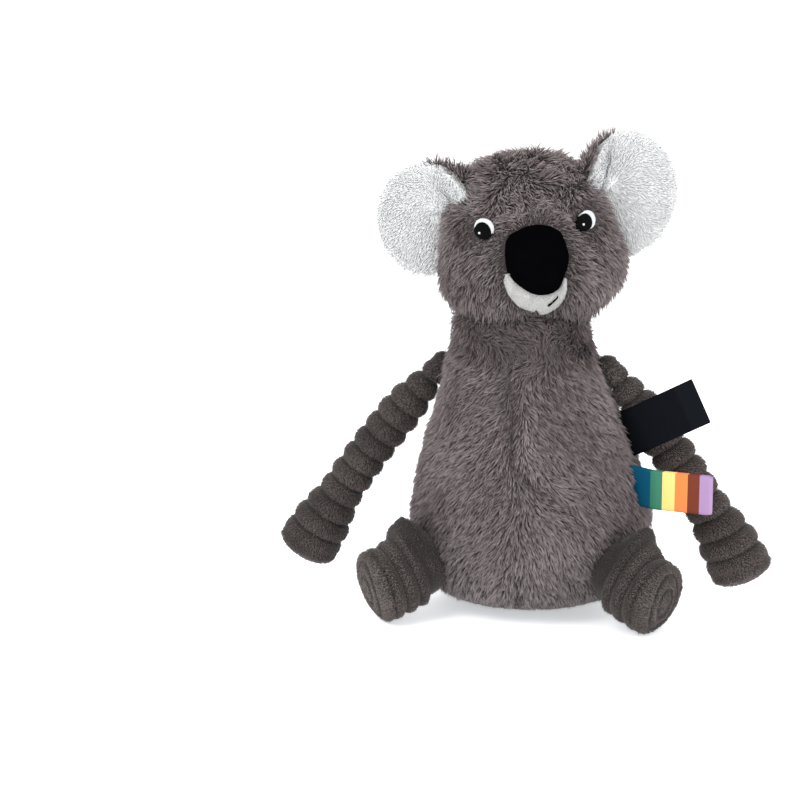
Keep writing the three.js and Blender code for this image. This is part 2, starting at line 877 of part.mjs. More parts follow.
// Moves a piece that points along +X, with +Z as its width, out of the side seam
function sewIn(geometry, height, angle, tilt, length) {
  const seam = seamAngleAt(height);
  const root = besideTorso(seam, height, 0);
  return cut(
    geometry
      .translate(length / 2 - overrun, 0, 0)
      .rotateY(radians(-tilt))
      .rotateZ(radians(angle - 90))
      .translate(...root.toArray()),
    torsoEnvelope(patchGap, 0, fineSegments),
  );
}

function wovenLabel() {
  const strip = new THREE.BoxGeometry(labelLength, labelThickness, labelWidth);
  return sewIn(strip, labelHeight, labelAngle, labelTilt, labelLength);
}

// The ribbon tab: a strip folded double, with a round fold at its outer end
function ribbonTab() {
  const half = ribbonLoopGap / 2 + ribbonThickness;
  const straight = ribbonLength / 2 - half;
  const loop = new THREE.Shape();
  loop.moveTo(-ribbonLength / 2, -half);
  loop.lineTo(straight, -half);
  loop.absarc(straight, 0, half, -Math.PI / 2, Math.PI / 2, false);
  loop.lineTo(-ribbonLength / 2, half);
  loop.lineTo(-ribbonLength / 2, ribbonLoopGap / 2);
  loop.lineTo(straight, ribbonLoopGap / 2);
  loop.absarc(straight, 0, ribbonLoopGap / 2, Math.PI / 2, -Math.PI / 2, true);
  loop.lineTo(-ribbonLength / 2, -ribbonLoopGap / 2);
  loop.closePath();
  const strip = new THREE.ExtrudeGeometry(loop, {
    depth: ribbonWidth,
    bevelEnabled: false,
    curveSegments: limbSegments,
  }).translate(0, 0, -ribbonWidth / 2);
  return sewIn(strip, ribbonHeight, ribbonAngle, 0, ribbonLength);
}

// Colours and finishes
const finishes = {
  fur: { color: 0x746b6a, roughness: 0.95 },
  corduroy: { color: 0x4b4442, roughness: 0.9 },
  whitePlush: { color: 0xd9d9d9, roughness: 0.95 },
  velvet: { color: 0x0b0b0c, roughness: 0.85 },
  whiteFelt: { color: 0xd2d1d0, roughness: 0.9 },
  whiteThread: { color: 0xe6e6e6, roughness: 0.6 },
  blackThread: { color: 0x101012, roughness: 0.5 },
  filling: { color: 0xf2f0ea, roughness: 1 },
  pelletCloth: { color: 0xe4e0d4, roughness: 0.9 },
  satin: { color: 0x11151b, roughness: 0.45 },
  ribbon: { color: 0xd8a23c, roughness: 0.5 },
};

const group = new THREE.Group();

function add(name, geometry, finish) {
  const mesh = new THREE.Mesh(geometry, new THREE.MeshStandardMaterial(finishes[finish]));
  mesh.name = name;
  group.add(mesh);
}

// The body's panels, cut where the limbs turn in it
const sockets = [leftArm, rightArm, leftLeg, rightLeg].map(rootPocket);
const dishes = [leftArm, rightArm].map(shoulderDish);
for (const panel of torsoPanels) {
  add(panel.name, cut(torsoPanel(panel), ...sockets, ...dishes), 'fur');
}
add('torso_base', torsoBase(), 'fur');
add('torso_stuffing', cut(torsoStuffing(), ...sockets, ...dishes), 'filling');
add('pellet_bag', pelletBag(0, 0), 'pelletCloth');

// The head and the face
const head = headPanels();
add('head_crown', head.crown, 'fur');
add('head_left_side', head.left, 'fur');
add('head_right_side', head.right, 'fur');
add('head_stuffing', headStuffing(), 'filling');
add('nose', poseHead(nose()), 'velvet');
add('lower_lip', poseHead(lip()), 'whiteFelt');
add('mouth_stitch', poseHead(mouth()), 'blackThread');
for (const [name, side] of [['left', 1], ['right', -1]]) {
  const { black, white } = eye(side);
  add(`${name}_eye_black`, poseHead(black), 'blackThread');
  add(`${name}_eye_white`, poseHead(white), 'whiteThread');
  const { inner, back } = ear(side);
  add(`${name}_ear_inner`, inner, 'whitePlush');
  add(`${name}_ear_back`, back, 'fur');
}

// The limbs: two sewn halves round a filling
for (const [name, shape] of [['left', leftArm], ['right', rightArm]]) {
  const ahead = Math.sign(shape.out.x);
  add(`${name}_arm_front`, limbHalf(shape, ahead), 'corduroy');
  add(`${name}_arm_back`, limbHalf(shape, -ahead), 'corduroy');
  add(`${name}_arm_stuffing`, limbStuffing(shape), 'filling');
}
for (const [name, shape] of [['left', leftLeg], ['right', rightLeg]]) {
  const inward = Math.sign(shape.out.x);
  add(`${name}_leg_inner`, limbHalf(shape, inward), 'corduroy');
  add(`${name}_leg_outer`, limbHalf(shape, -inward), 'corduroy');
  add(`${name}_leg_stuffing`, limbStuffing(shape), 'filling');
}

// The bare black label and the striped ribbon tab
add('woven_label', wovenLabel(), 'satin');
add('ribbon_tab', ribbonTab(), 'ribbon');

export default group;
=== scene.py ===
# A seated plush koala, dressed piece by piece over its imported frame.
# Metres, +Z up, and the toy faces -Y. Its own left side is +X.

# %% [markdown]
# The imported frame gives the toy's bodies, joints and solids at their real size. Everything
# below is soft goods, so almost every solid is replaced by a fuller form with its pile on.

import json
import math
from functools import partialmethod
from types import SimpleNamespace

import bpy
import numpy as np
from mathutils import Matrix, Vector


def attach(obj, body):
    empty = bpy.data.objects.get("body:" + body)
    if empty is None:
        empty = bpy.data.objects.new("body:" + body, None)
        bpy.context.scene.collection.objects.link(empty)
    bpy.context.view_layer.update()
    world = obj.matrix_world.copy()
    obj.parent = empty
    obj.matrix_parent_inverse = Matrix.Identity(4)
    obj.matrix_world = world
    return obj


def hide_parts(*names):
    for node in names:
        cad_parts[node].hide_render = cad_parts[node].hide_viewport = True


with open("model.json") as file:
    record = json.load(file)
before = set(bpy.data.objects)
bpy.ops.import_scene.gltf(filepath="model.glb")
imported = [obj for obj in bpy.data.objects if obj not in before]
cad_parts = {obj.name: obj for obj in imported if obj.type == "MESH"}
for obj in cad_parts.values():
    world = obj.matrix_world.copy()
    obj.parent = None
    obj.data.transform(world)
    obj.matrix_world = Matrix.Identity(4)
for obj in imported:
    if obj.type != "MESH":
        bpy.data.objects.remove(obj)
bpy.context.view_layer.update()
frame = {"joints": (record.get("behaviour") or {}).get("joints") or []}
scene = bpy.context.scene
mm = 0.001
joints = {joint["name"]: joint for joint in frame["joints"]}

# %% [markdown]
# A product photograph of a soft toy is taken with a long lens from a little above, so the
# proportions stay true. The camera here stands about 1.24 m away, 10 degrees above the level.
# A shorter lens would swell the nose, and a wider view would waste the frame.


# %% Camera
def placed(name, data):
    """A new object in the scene that shows this data."""
    made = bpy.data.objects.new(name, data)
    scene.collection.objects.link(made)
    return made


def aim(holder, place, target):
    """Puts a camera or a lamp at a place and points it at a target."""
    holder.location = place
    holder.rotation_euler = (Vector(target) - Vector(place)).to_track_quat("-Z", "Y").to_euler()


camera_place = Vector((116.8, -1218.5, 351.1)) * mm
camera_target = Vector((-82.7, -13.7, 135.8)) * mm
camera = placed("camera", bpy.data.cameras.new("camera"))
camera.data.lens = 85
camera.data.sensor_width = 36
camera.data.clip_end = 20
aim(camera, camera_place, camera_target)
scene.camera = camera
print("camera distance", round((camera_target - camera_place).length, 3))

# %% [markdown]
# Shader and geometry maths is easier to read as sums than as lists of nodes. One class wraps
# an output socket, so that `wire * 2 + 1` adds the Math nodes. Another adds any other node
# from its type, the values or wires of its sockets, and its settings.


# %% Helpers for node graphs
class Wire:
    """An output socket that can be used in sums."""

    def __init__(self, graph, socket):
        self.graph, self.socket = graph, socket

    def maths(self, operation, *others):
        return self.graph.add("ShaderNodeMath", (self, *others), operation=operation)

    __add__ = __radd__ = partialmethod(maths, "ADD")
    __sub__ = partialmethod(maths, "SUBTRACT")
    __mul__ = __rmul__ = partialmethod(maths, "MULTIPLY")
    __pow__ = partialmethod(maths, "POWER")
    sine = partialmethod(maths, "SINE")
    at_most = partialmethod(maths, "MINIMUM")

    def clamped(self):
        return self.graph.add("ShaderNodeClamp", [self])


class Graph:
    """Adds nodes to a tree: a type, the values or wires of its sockets, and its settings."""

    def __init__(self, tree):
        self.tree = tree

    def add(self, kind, values=(), output=0, **settings):
        node = self.tree.nodes.new(kind)
        for key, value in settings.items():
            setattr(node, key, value)
        for key, value in values.items() if isinstance(values, dict) else enumerate(values):
            if isinstance(value, Wire):
                self.link(value, node.inputs[key])
            else:
                node.inputs[key].default_value = value
        return Wire(self, node.outputs[output]) if node.outputs else node

    def link(self, wire, socket):
        self.tree.links.new(wire.socket, socket)

    def other(self, wire, output):
        return Wire(self, wire.socket.node.outputs[output])

    def blend(self, share, first, second):
        return self.add("ShaderNodeMix", {0: share, 6: first, 7: second}, 2, data_type="RGBA")


def new_finish(name, values):
    """A new material with those shader values, its graph and its shader's inputs."""
    made = bpy.data.materials.new(name)
    made.use_nodes = True
    inputs = made.node_tree.nodes["Principled BSDF"].inputs
    for key, value in values.items():
        inputs[key].default_value = value
    return made, Graph(made.node_tree), inputs


def linear(*colour):
    """A colour as it reads in a photograph, 0 to 255, made linear for a shader."""
    return *(((c / 255 + 0.055) / 1.055) ** 2.4 if c > 10 else c / 3295 for c in colour), 1.0


# %% [markdown]
# Studio light for a pale product shot: a bright even surround, a large soft key from the upper
# left of the camera, a weaker fill from the right and a soft lamp high behind. Small lamps would
# give hard sparkle on the pile. The floor is a plain pale sheet that runs out of view.

# %% Light and floor
scene.view_settings.view_transform = "Standard"
scene.view_settings.look = "None"
scene.view_settings.exposure = 0
scene.world = bpy.data.worlds.new("surround")
scene.world.use_nodes = True
surround = scene.world.node_tree.nodes["Background"].inputs
surround["Color"].default_value = (1.0, 1.0, 1.0, 1.0)
surround["Strength"].default_value = 1.25

lamps = (  # name, place, height of its target, width and power
    ("key", (-0.7, -1.3, 1.3), 0.15, 0.9, 16),
    ("fill", (1.2, -1.0, 0.6), 0.15, 1.0, 5),
    ("top", (0.1, 0.4, 1.6), 0.1, 0.8, 8),
)
for name, place, target_height, width, power in lamps:
    lamp = bpy.data.lights.new(name, "AREA")
    lamp.shape, lamp.size, lamp.energy = "DISK", width, power
    aim(placed(name, lamp), place, (0, 0, target_height))

floor_mesh = bpy.data.meshes.new("floor")
reach = 6.0
floor_corners = [(-reach, -reach, 0), (reach, -reach, 0), (reach, reach, 0), (-reach, reach, 0)]
floor_mesh.from_pydata(floor_corners, [], [(0, 1, 2, 3)])
floor = placed("floor", floor_mesh)
floor_mesh.materials.append(new_finish("pale sheet", {
    "Base Color": (0.93, 0.94, 0.95, 1), "Roughness": 0.9, "Specular IOR Level": 0.0,
    "Emission Color": (0.95, 0.97, 1.0, 1), "Emission Strength": 0.5,
})[0])
print("lamps", len(lamps), "floor", 2 * reach, "m wide")

# %% [markdown]
# Every soft skin here is a grid of rings with a point at each end, like a knitted tube. Numpy
# works out all the points at once, which is much quicker than moving vertices one by one.
# These are the sums that all of them share.


# %% Sums with points
def unit(vectors):
    return vectors / np.maximum(np.linalg.norm(vectors, axis=-1, keepdims=True), 1e-12)


def dot(first, second):
    return np.einsum("ij,ij->i", first, second)[:, None]


def along_skin(vectors, rise):
    """Unit vectors without the part that points out of the skin."""
    return unit(vectors - rise * dot(vectors, rise))


def turned(flow, rise, angle):
    """Vectors swung about the way each point of a skin faces."""
    return flow * np.cos(angle)[:, None] + np.cross(rise, flow) * np.sin(angle)[:, None]


def rotated(first, second, angle):
    """Two coordinates turned by an angle."""
    c, s = math.cos(angle), math.sin(angle)
    return first * c - second * s, first * s + second * c


def smooth(low, high, value):
    """Rises from 0 at `low` to 1 at `high` without a corner."""
    t = np.clip((value - low) / (high - low), 0, 1)
    return t * t * (3 - 2 * t)


def bell(value, width):
    """1 where a value is 0, and nearly 0 where it is twice the width away."""
    return np.exp(-(value / width) ** 2)


def wrapped(angle):
    return (angle + 180) % 360 - 180


def heading(angle):
    """Unit vectors on the floor at angles from straight ahead, in degrees."""
    turn = np.radians(angle)
    return np.stack([np.sin(turn), -np.cos(turn), np.zeros_like(turn)], -1)


def ripple(points, scale, seed):
    """Smooth noise from -1 to 1 over space, as a sum of slanted waves."""
    wheel = np.random.default_rng(seed)
    total = np.zeros(len(points))
    for _ in range(6):
        direction = unit(wheel.normal(size=3)) * wheel.uniform(0.6, 1.6)
        total += np.sin(points @ direction / scale * 2 * math.pi + wheel.uniform(0, 7))
    return total / 3


up = np.array([0.0, 0.0, 1.0])

# %% [markdown]
# A grid of rings becomes one closed mesh. It also carries, for each point, what the pile
# needs: which way it lies, how long it grows, how thickly, and how pale it is. Painted weights
# would do the same by hand, but numbers can follow a seam or a fold exactly.


# %% Skins from rings
def vectors_of(mesh, kind):
    values = np.zeros(len(mesh.vertices) * 3)
    mesh.vertices.foreach_get(kind, values)
    return values.reshape(-1, 3)


def points_of(mesh):
    return vectors_of(mesh, "co")


def normals_of(mesh):
    return vectors_of(mesh, "normal")


def surface(mesh):
    """The points of a mesh and the way each one faces."""
    return points_of(mesh), normals_of(mesh)


def put_points(mesh, points):
    mesh.vertices.foreach_set("co", points.astype(np.float32).ravel())
    mesh.update()


def push_out(mesh, distance):
    """Moves each point of a mesh outwards by a distance."""
    put_points(mesh, points_of(mesh) + normals_of(mesh) * np.reshape(distance, (-1, 1)))


def facing_out(mesh):
    """Turns a closed mesh's faces outwards, going by the sign of its volume."""
    mesh.calc_loop_triangles()
    corners = np.array([t.vertices for t in mesh.loop_triangles])
    a, b, c = (points_of(mesh)[corners[:, i]] for i in range(3))
    if dot(a, np.cross(b, c)).sum() < 0:
        mesh.flip_normals()


def skin_of(name, rings, first, last):
    """A closed mesh from rings of points, rings first, with a point at either end."""
    count, around, _ = rings.shape
    points = np.concatenate([rings.reshape(-1, 3), [first], [last]])
    row, column = np.meshgrid(np.arange(count - 1) * around, np.arange(around), indexing="ij")
    after, above = (column + 1) % around, row + around
    quads = np.stack([row + column, row + after, above + after, above + column], -1)
    low, top = count * around, (count - 1) * around
    turn = [(c, (c + 1) % around) for c in range(around)]
    fans = [(low, b, a) for a, b in turn] + [(low + 1, top + a, top + b) for a, b in turn]
    mesh = bpy.data.meshes.new(name)
    mesh.from_pydata(points.tolist(), [], quads.reshape(-1, 4).tolist() + fans)
    facing_out(mesh)
    mesh.shade_smooth()
    return mesh


def keep_field(mesh, name, values):
    """Stores one number or one vector for each point, for the pile to read."""
    kind, key = ("FLOAT_VECTOR", "vector") if values.ndim == 2 else ("FLOAT", "value")
    field = mesh.attributes.get(name) or mesh.attributes.new(name, kind, "POINT")
    field.data.foreach_set(key, values.astype(np.float32).ravel())


def lay_pile(mesh, flow, length, thick, pale):
    """The fields of a pile: its lie, its length, how thickly it grows and how pale it is."""
    rise = normals_of(mesh)
    names = ("rise", "flow", "pile", "thick", "pale")
    for name, values in zip(names, (rise, along_skin(flow, rise), length, thick, pale)):
        keep_field(mesh, name, values)


def put_map(mesh, name, places, spread=0.0):
    """Adds a UV map from a place for each point. A spread sets a face's corners apart."""
    corners = np.zeros(len(mesh.loops), np.int32)
    mesh.loops.foreach_get("vertex_index", corners)
    both = places[corners]
    both[:, 0] += np.resize([-spread, spread, 0.0], len(corners))
    mesh.uv_layers.new(name=name).data.foreach_set("uv", both.astype(np.float32).ravel())


# %% [markdown]
# Plush pile is thousands of small tufts, each a few fibres that cling together and end in a
# point. Hair particles would be the usual way, but they don't export, and a bump pattern has
# no silhouette. So each tuft is a real three-sided tapering spike with a bend in it, with some
# sorts of each to choose from. A spike has only seven faces, as there are many thousands.

# %% Tufts
bands = 2


def spike(name, lean, curl, width, flat):
    """A tapering spike of length 1 that rises along +Z and leans over towards +X."""
    share = np.linspace(0, 1, bands + 1)[:-1]
    angle = np.radians(lean + curl * np.linspace(0, 1, bands + 1))
    step = 1 / bands
    across = np.concatenate([[0], np.cumsum(np.sin(angle[:-1]) * step)])
    rise = np.concatenate([[0], np.cumsum(np.cos(angle[:-1]) * step)])
    swell = width * (0.75 + 0.6 * np.sin(share * math.pi)) * (1 - share ** 1.6)
    points = []
    for i in range(bands):
        for turn in map(math.radians, (90, 210, 330)):
            out, slant = swell[i] * flat * math.sin(turn), angle[i]
            x, z = across[i] - out * math.cos(slant), rise[i] + out * math.sin(slant)
            points.append((x, swell[i] * math.cos(turn), z))
    points.append((across[-1], 0, rise[-1]))
    tip, sides = len(points) - 1, ((0, 1), (1, 2), (2, 0))
    faces = [(2, 1, 0)]
    for i in range(0, tip - 3, 3):
        faces += [(i + a, i + b, i + b + 3, i + a + 3) for a, b in sides]
    faces += [(tip - 3 + a, tip - 3 + b, tip) for a, b in sides]
    mesh = bpy.data.meshes.new(name)
    mesh.from_pydata(points, [], faces)
    facing_out(mesh)
    mesh.shade_smooth()
    keep_field(mesh, "along", np.append(np.repeat(share, 3), 1.0))
    return bpy.data.objects.new(name, mesh)


def tuft_set(name, leans, curls, width, flat):
    """A collection of tufts to pick from, each a little wider than the last."""
    shelf = bpy.data.collections.new(name)
    for i, (lean, curl) in enumerate(zip(leans, curls)):
        shelf.objects.link(spike(f"{name}_{i}", lean, curl, width * (0.85 + 0.12 * i), flat))
    return shelf


flat_tufts = tuft_set("flat_tuft", (60, 67, 54, 64), (16, 10, 22, 18), 0.082, 0.42)
long_tufts = tuft_set("long_tuft", (44, 54, 36, 50), (32, 22, 40, 44), 0.078, 0.45)
plush_tufts = tuft_set("plush_tuft", (79, 83, 75), (7, 5, 9), 0.1, 0.35)
nap_tufts = tuft_set("nap_tuft", (40, 52, 30), (26, 22, 30), 0.15, 0.55)

# %% [markdown]
# One Geometry Nodes tree grows every pile on the toy. It scatters points over a skin, more
# where the skin's `thick` field says so, stands a tuft on each one along the skin's own `rise`
# and turns it to lie along the `flow`. Neighbours swing together, in clumps, as brushed fibre
# does, and stand up or lie down together, in locks, which are painted paler where they stand and
# darker where they lie, as painted light and shade. Named inputs set all this.

# %% The pile's tree
lock_scale, clump_scale = 330.0, 190.0


def start_tree(name, sockets):
    """A geometry tree that makes a Piece: its graph, and its inputs by name."""
    tree = bpy.data.node_groups.new(name, "GeometryNodeTree")
    for title, kind in sockets.items():
        tree.interface.new_socket(name=title, in_out="INPUT", socket_type="NodeSocket" + kind)
    tree.interface.new_socket(name="Piece", in_out="OUTPUT", socket_type="NodeSocketGeometry")
    graph = Graph(tree)
    first = graph.add("NodeGroupInput")
    return graph, {title: graph.other(first, i) for i, title in enumerate(sockets)}


def end_tree(graph, geometry, finish):
    """Gives the geometry its finish and makes it the tree's Piece."""
    dressed = graph.add("GeometryNodeSetMaterial", {"Geometry": geometry, "Material": finish})
    graph.add("NodeGroupOutput", {"Piece": dressed})
    return graph.tree


def field(graph, name, kind="FLOAT"):
    return graph.add("GeometryNodeInputNamedAttribute", {"Name": name}, data_type=kind)


def grow_tree():
    numbers = ("Density", "Length", "Width", "Untidiness", "Unevenness", "Clumping", "Locks")
    sockets = {"Skin": "Geometry", "Tufts": "Collection"} | dict.fromkeys(numbers, "Float")
    graph, given = start_tree("grow pile", sockets | {"Seed": "Int", "Finish": "Material"})

    def chance(low, high, salt):
        values = {2: low, 3: high, "Seed": given["Seed"] + salt}
        return graph.add("FunctionNodeRandomValue", values, 1, data_type="FLOAT")

    def noise(scale, detail):
        return graph.add("ShaderNodeTexNoise", {"Scale": scale, "Detail": detail}) - 0.5

    def swung(rotation, axis, angle):
        by = graph.add("FunctionNodeAxisAngleToRotation", {"Axis": axis, "Angle": angle})
        values = {"Rotation": rotation, "Rotate By": by}
        return graph.add("FunctionNodeRotateRotation", values, rotation_space="LOCAL")

    pile, untidy = field(graph, "pile"), given["Untidiness"]
    scattered = graph.add("GeometryNodeDistributePointsOnFaces", {
        "Mesh": given["Skin"], "Density": given["Density"] * field(graph, "thick"),
        "Seed": given["Seed"],
    }, distribute_method="RANDOM")
    # Locks that stand up are painted paler and those that lie down darker, as painted light and
    # shade.
    lock = noise(lock_scale, 2.0) * 3.0 * given["Locks"]
    toned = graph.add("GeometryNodeStoreNamedAttribute", {
        "Geometry": scattered, "Name": "tone", "Value": (chance(0.2, 0.8, 11) + lock).clamped(),
    }, data_type="FLOAT", domain="POINT")
    rise, flow = field(graph, "rise", "FLOAT_VECTOR"), field(graph, "flow", "FLOAT_VECTOR")
    turn_to = "FunctionNodeAlignRotationToVector"
    standing = graph.add(turn_to, {"Vector": rise}, axis="Z")
    lying = graph.add(turn_to, {"Rotation": standing, "Vector": flow}, axis="X", pivot_axis="Z")
    aside = chance(-1.0, 1.0, 23) * untidy + noise(clump_scale, 1.5) * given["Clumping"]
    lift = chance(-0.5, 0.5, 37) * untidy - lock * 0.35
    tipped = swung(swung(lying, (0, 0, 1), aside), (0, 1, 0), lift)
    uneven = 1 + chance(-1.0, 1.0, 41) * given["Unevenness"]
    long = given["Length"] * pile * uneven * (1 + lock * 0.45)
    wide = given["Width"] * (0.4 + pile * 0.6) * (1 + chance(-0.3, 0.3, 53))
    shelf = graph.add("GeometryNodeCollectionInfo", {
        "Collection": given["Tufts"], "Separate Children": True, "Reset Children": True,
    })
    grown = graph.add("GeometryNodeInstanceOnPoints", {
        "Points": toned, "Instance": shelf, "Pick Instance": True, "Rotation": tipped,
        "Scale": graph.add("ShaderNodeCombineXYZ", (long, wide, long)),
    })
    both = graph.add("GeometryNodeJoinGeometry")
    for part in (given["Skin"], graph.add("GeometryNodeRealizeInstances", {"Geometry": grown})):
        graph.link(part, both.socket.node.inputs[0])
    return end_tree(graph, both, given["Finish"])


pile_tree = grow_tree()
print(pile_tree.name, "has", len(pile_tree.nodes), "nodes")

# %% [markdown]
# Plush fibre is darker at its root, where little light gets in, and paler at its tip. Each tuft
# also has a shade of its own. The bake map holds both, so one small graph serves every pile,
# and the colours are what changes from cloth to cloth.


# %% Pile finishes
def pile_finish(name, root, dark, pale, tip, sheen):
    """A finish for pile: root colour, darkest and palest tuft, how pale the tip goes."""
    made, graph, inputs = new_finish(name, {
        "Roughness": 0.8, "Specular IOR Level": 0.25, "Sheen Weight": sheen,
    })
    root, dark, pale = linear(*root), linear(*dark), linear(*pale)
    tone = graph.add("ShaderNodeSeparateXYZ", [graph.add("ShaderNodeUVMap", uv_map="OFBake")])
    along = graph.other(tone, 1)
    fibre = graph.blend(tone, dark, pale)
    body = graph.blend((along * 1.5).at_most(1.0) ** 0.8, root, fibre)
    graph.link(graph.blend((along - 0.55) * tip, body, pale), inputs["Base Color"])
    return made


grey_fur = pile_finish("grey fur", (46, 38, 38), (80, 69, 69), (150, 138, 138), 0.6, 0.15)
grey_nap = pile_finish(
    "grey corduroy nap", (20, 16, 15), (56, 47, 45), (128, 115, 109), 0.5, 0.15,
)
white_plush = pile_finish(
    "white ear plush", (218, 219, 219), (196, 197, 198), (225, 225, 225), 0.3, 0.0,
)
white_felt = pile_finish(
    "white lip felt", (182, 181, 179), (168, 167, 165), (200, 199, 197), 0.3, 0.0,
)

# %% [markdown]
# Four piles cover the toy: grey fur, the ears' white plush, the corduroy's nap and the lip's
# felt. Fur lies flatter on the body than on the head, so one table has a row for each place,
# and a change to a cloth is a change in one row. A mottled cloth has pale and dark tufts side
# by side. The fill is how firmly a piece is stuffed.

# %% Cloths
settings = ("Tufts", "Density", "Length", "Width", "Untidiness", "Unevenness", "Clumping", "Locks")
cloths = {  # finish, mottle, fill, and the settings of the pile's tree
    "body": (grey_fur, 0.7, 0.9, flat_tufts, 8.2e5, 6.0 * mm, 5.5 * mm, 0.3, 0.35, 1.8, 0.9),
    "head": (grey_fur, 0.7, 0.95, long_tufts, 8.2e5, 7.0 * mm, 5.5 * mm, 0.4, 0.35, 2.6, 1.0),
    "ear": (grey_fur, 0.7, 0.6, long_tufts, 8e5, 7.2 * mm, 5.4 * mm, 0.4, 0.3, 2.4, 0.8),
    "plush": (white_plush, 0.2, 0.6, plush_tufts, 1.2e6, 4.2 * mm, 5.4 * mm, 0.15, 0.35, 1.4, 0.05),
    "arm": (grey_nap, 0.2, 0.8, nap_tufts, 1.25e6, 1.5 * mm, 2.05 * mm, 0.45, 0.35, 1.2, 0.4),
    "leg": (grey_nap, 0.2, 0.8, nap_tufts, 1.25e6, 1.3 * mm, 2.05 * mm, 0.45, 0.35, 1.2, 0.4),
    "felt": (white_felt, 0.25, 0.7, plush_tufts, 2.6e6, 2.0 * mm, 3.0 * mm, 0.4, 0.35, 1.4, 0.2),
}


def made_plain(piece, tree, values):
    """Runs a tree on a piece with those inputs and keeps the result as its plain mesh."""
    modifier = piece.modifiers.new(tree.name, "NODES")
    modifier.node_group = tree
    for item in tree.interface.items_tree:
        if item.in_out == "INPUT" and item.name in values:
            modifier[item.identifier] = values[item.name]
    bpy.context.view_layer.update()
    evaluated = piece.evaluated_get(bpy.context.evaluated_depsgraph_get())
    whole = bpy.data.meshes.new_from_object(evaluated)
    piece.modifiers.clear()
    piece.data = whole
    whole.name = piece.name
    return whole


def map_pile(mesh, seed, mottle):
    """The bake map: across it how pale each tuft is, and up it how far along the tuft."""
    fields = {name: np.zeros(len(mesh.vertices), np.float32) for name in ("tone", "along", "pale")}
    for name, values in fields.items():
        mesh.attributes[name].data.foreach_get("value", values)
    tone, along, pale = fields.values()
    patches = ripple(points_of(mesh), 45 * mm, seed + 5) * 0.1
    across = np.clip((tone - 0.5) * mottle + pale * 0.6 + 0.2 + patches, 0.01, 0.98)
    put_map(mesh, "OFBake", np.stack([across, along * 0.94 + 0.03], -1), 0.004)
    for name in ("tone", "along", "pale", "rise", "flow", "pile", "thick"):
        mesh.attributes.remove(mesh.attributes[name])


def finished(piece, finish, body, nodes):
    """Gives a piece its finish if it has none, ties it to its body and hides its solids."""
    if not piece.data.materials:
        piece.data.materials.append(finish)
    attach(piece, body)
    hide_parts(*nodes)
    print(piece.name, "triangles", sum(len(p.vertices) - 2 for p in piece.data.polygons))
    return piece


def grow(name, skin, body, nodes, cloth, seed, floor_at=None):
    """Grows a cloth's pile on a skin, makes it one plain mesh and ties it to its body."""
    finish, mottle, fill, *numbers = cloths[cloth]
    piece = placed(name, skin)
    values = dict(zip(settings, numbers)) | {"Seed": seed, "Finish": finish}
    whole = made_plain(piece, pile_tree, values)
    map_pile(whole, seed, mottle)
    if floor_at is not None:
        points = points_of(whole)
        points[:, 2] = np.maximum(points[:, 2], floor_at)
        put_points(whole, points)
    finished(piece, finish, body, nodes)


# %% [markdown]
# The body is a pear: four fur panels on a round flat seat, full at the belly and drawn in at
# the neck. It could be sculpted, but its outline follows the same rule as the sewing pattern,
# so the rule is repeated here. The skin lies 3 mm inside, because the pile stands on it.

# %% Body form
seat_radius, belly_radius, belly_height = 43 * mm, 80 * mm, 64 * mm
neck_radius, neck_height, neck_dome, flank_share = 46.5 * mm, 186 * mm, 24 * mm, 0.65
pile_depth, seat_level, floor_gap = 3 * mm, 1.5 * mm, 0.2 * mm


def body_outline(place):
    """Radius and height of the body at places from 0, the seat's edge, to 3, the very top."""
    low = np.clip(place, 0, 1) * math.pi / 2
    middle = np.clip(place - 1, 0, 1)
    high = np.clip(place - 2, 0, 1) * math.pi / 2
    eased = (1 + np.cos(math.pi * middle)) / 2
    fall = eased + (1 - middle - eased) * flank_share
    parts = [place < 1, place < 2]
    radius = np.select(parts, [
        seat_radius + (belly_radius - seat_radius) * np.sin(low),
        neck_radius + (belly_radius - neck_radius) * fall,
    ], neck_radius * np.cos(high))
    height = np.select(parts, [
        belly_height * (1 - np.cos(low)),
        belly_height + (neck_height - belly_height) * middle,
    ], neck_height + neck_dome * np.sin(high))
    return radius, height


def plain_pear():
    around = np.linspace(-180, 180, 121)[:-1]
    flank, dome = np.linspace(1, 2, 56)[1:], np.linspace(2, 2.9, 14)[1:]
    place = np.concatenate([np.linspace(0.0, 1, 26), flank, dome])
    radius, height = body_outline(place)
    ahead, behind = body_outline(place + 1e-3), body_outline(np.maximum(place - 1e-3, 0))
    slope = unit(np.stack([ahead[0] - behind[0], ahead[1] - behind[1]], -1))
    radius, height = radius - slope[:, 1] * pile_depth, height + slope[:, 0] * pile_depth
    seat = radius[0] * np.array([0.25, 0.5, 0.72, 0.9])
    radius = np.concatenate([seat, radius])[:, None, None]
    height = np.concatenate([np.full(4, seat_level), np.maximum(height, seat_level)])
    rings = heading(around)[None] * radius + up * height[:, None, None]
    return skin_of("body", rings, (0, 0, seat_level), (0, 0, height[-1] + 0.5 * mm))


# %% [markdown]
# The belly's middle seam pulls the fur into a shallow valley, bows towards the toy's left low
# down, and has a soft fold beside it. The filled body also leans a little and has faint lumps.
# A cloth simulation could make such folds, but not in the places where the photo has them.

# %% Seam, fold and lean
seam_wide, seam_deep, low_seam_wide = 2.8 * mm, 3.0 * mm, 2 * mm
fold_aside, fold_wide, fold_rise = 9 * mm, 6 * mm, 3 * mm
lean_levels, lean_aside = (0, 30, 70, 130, 186), (0, 2, 3, 0, -5)


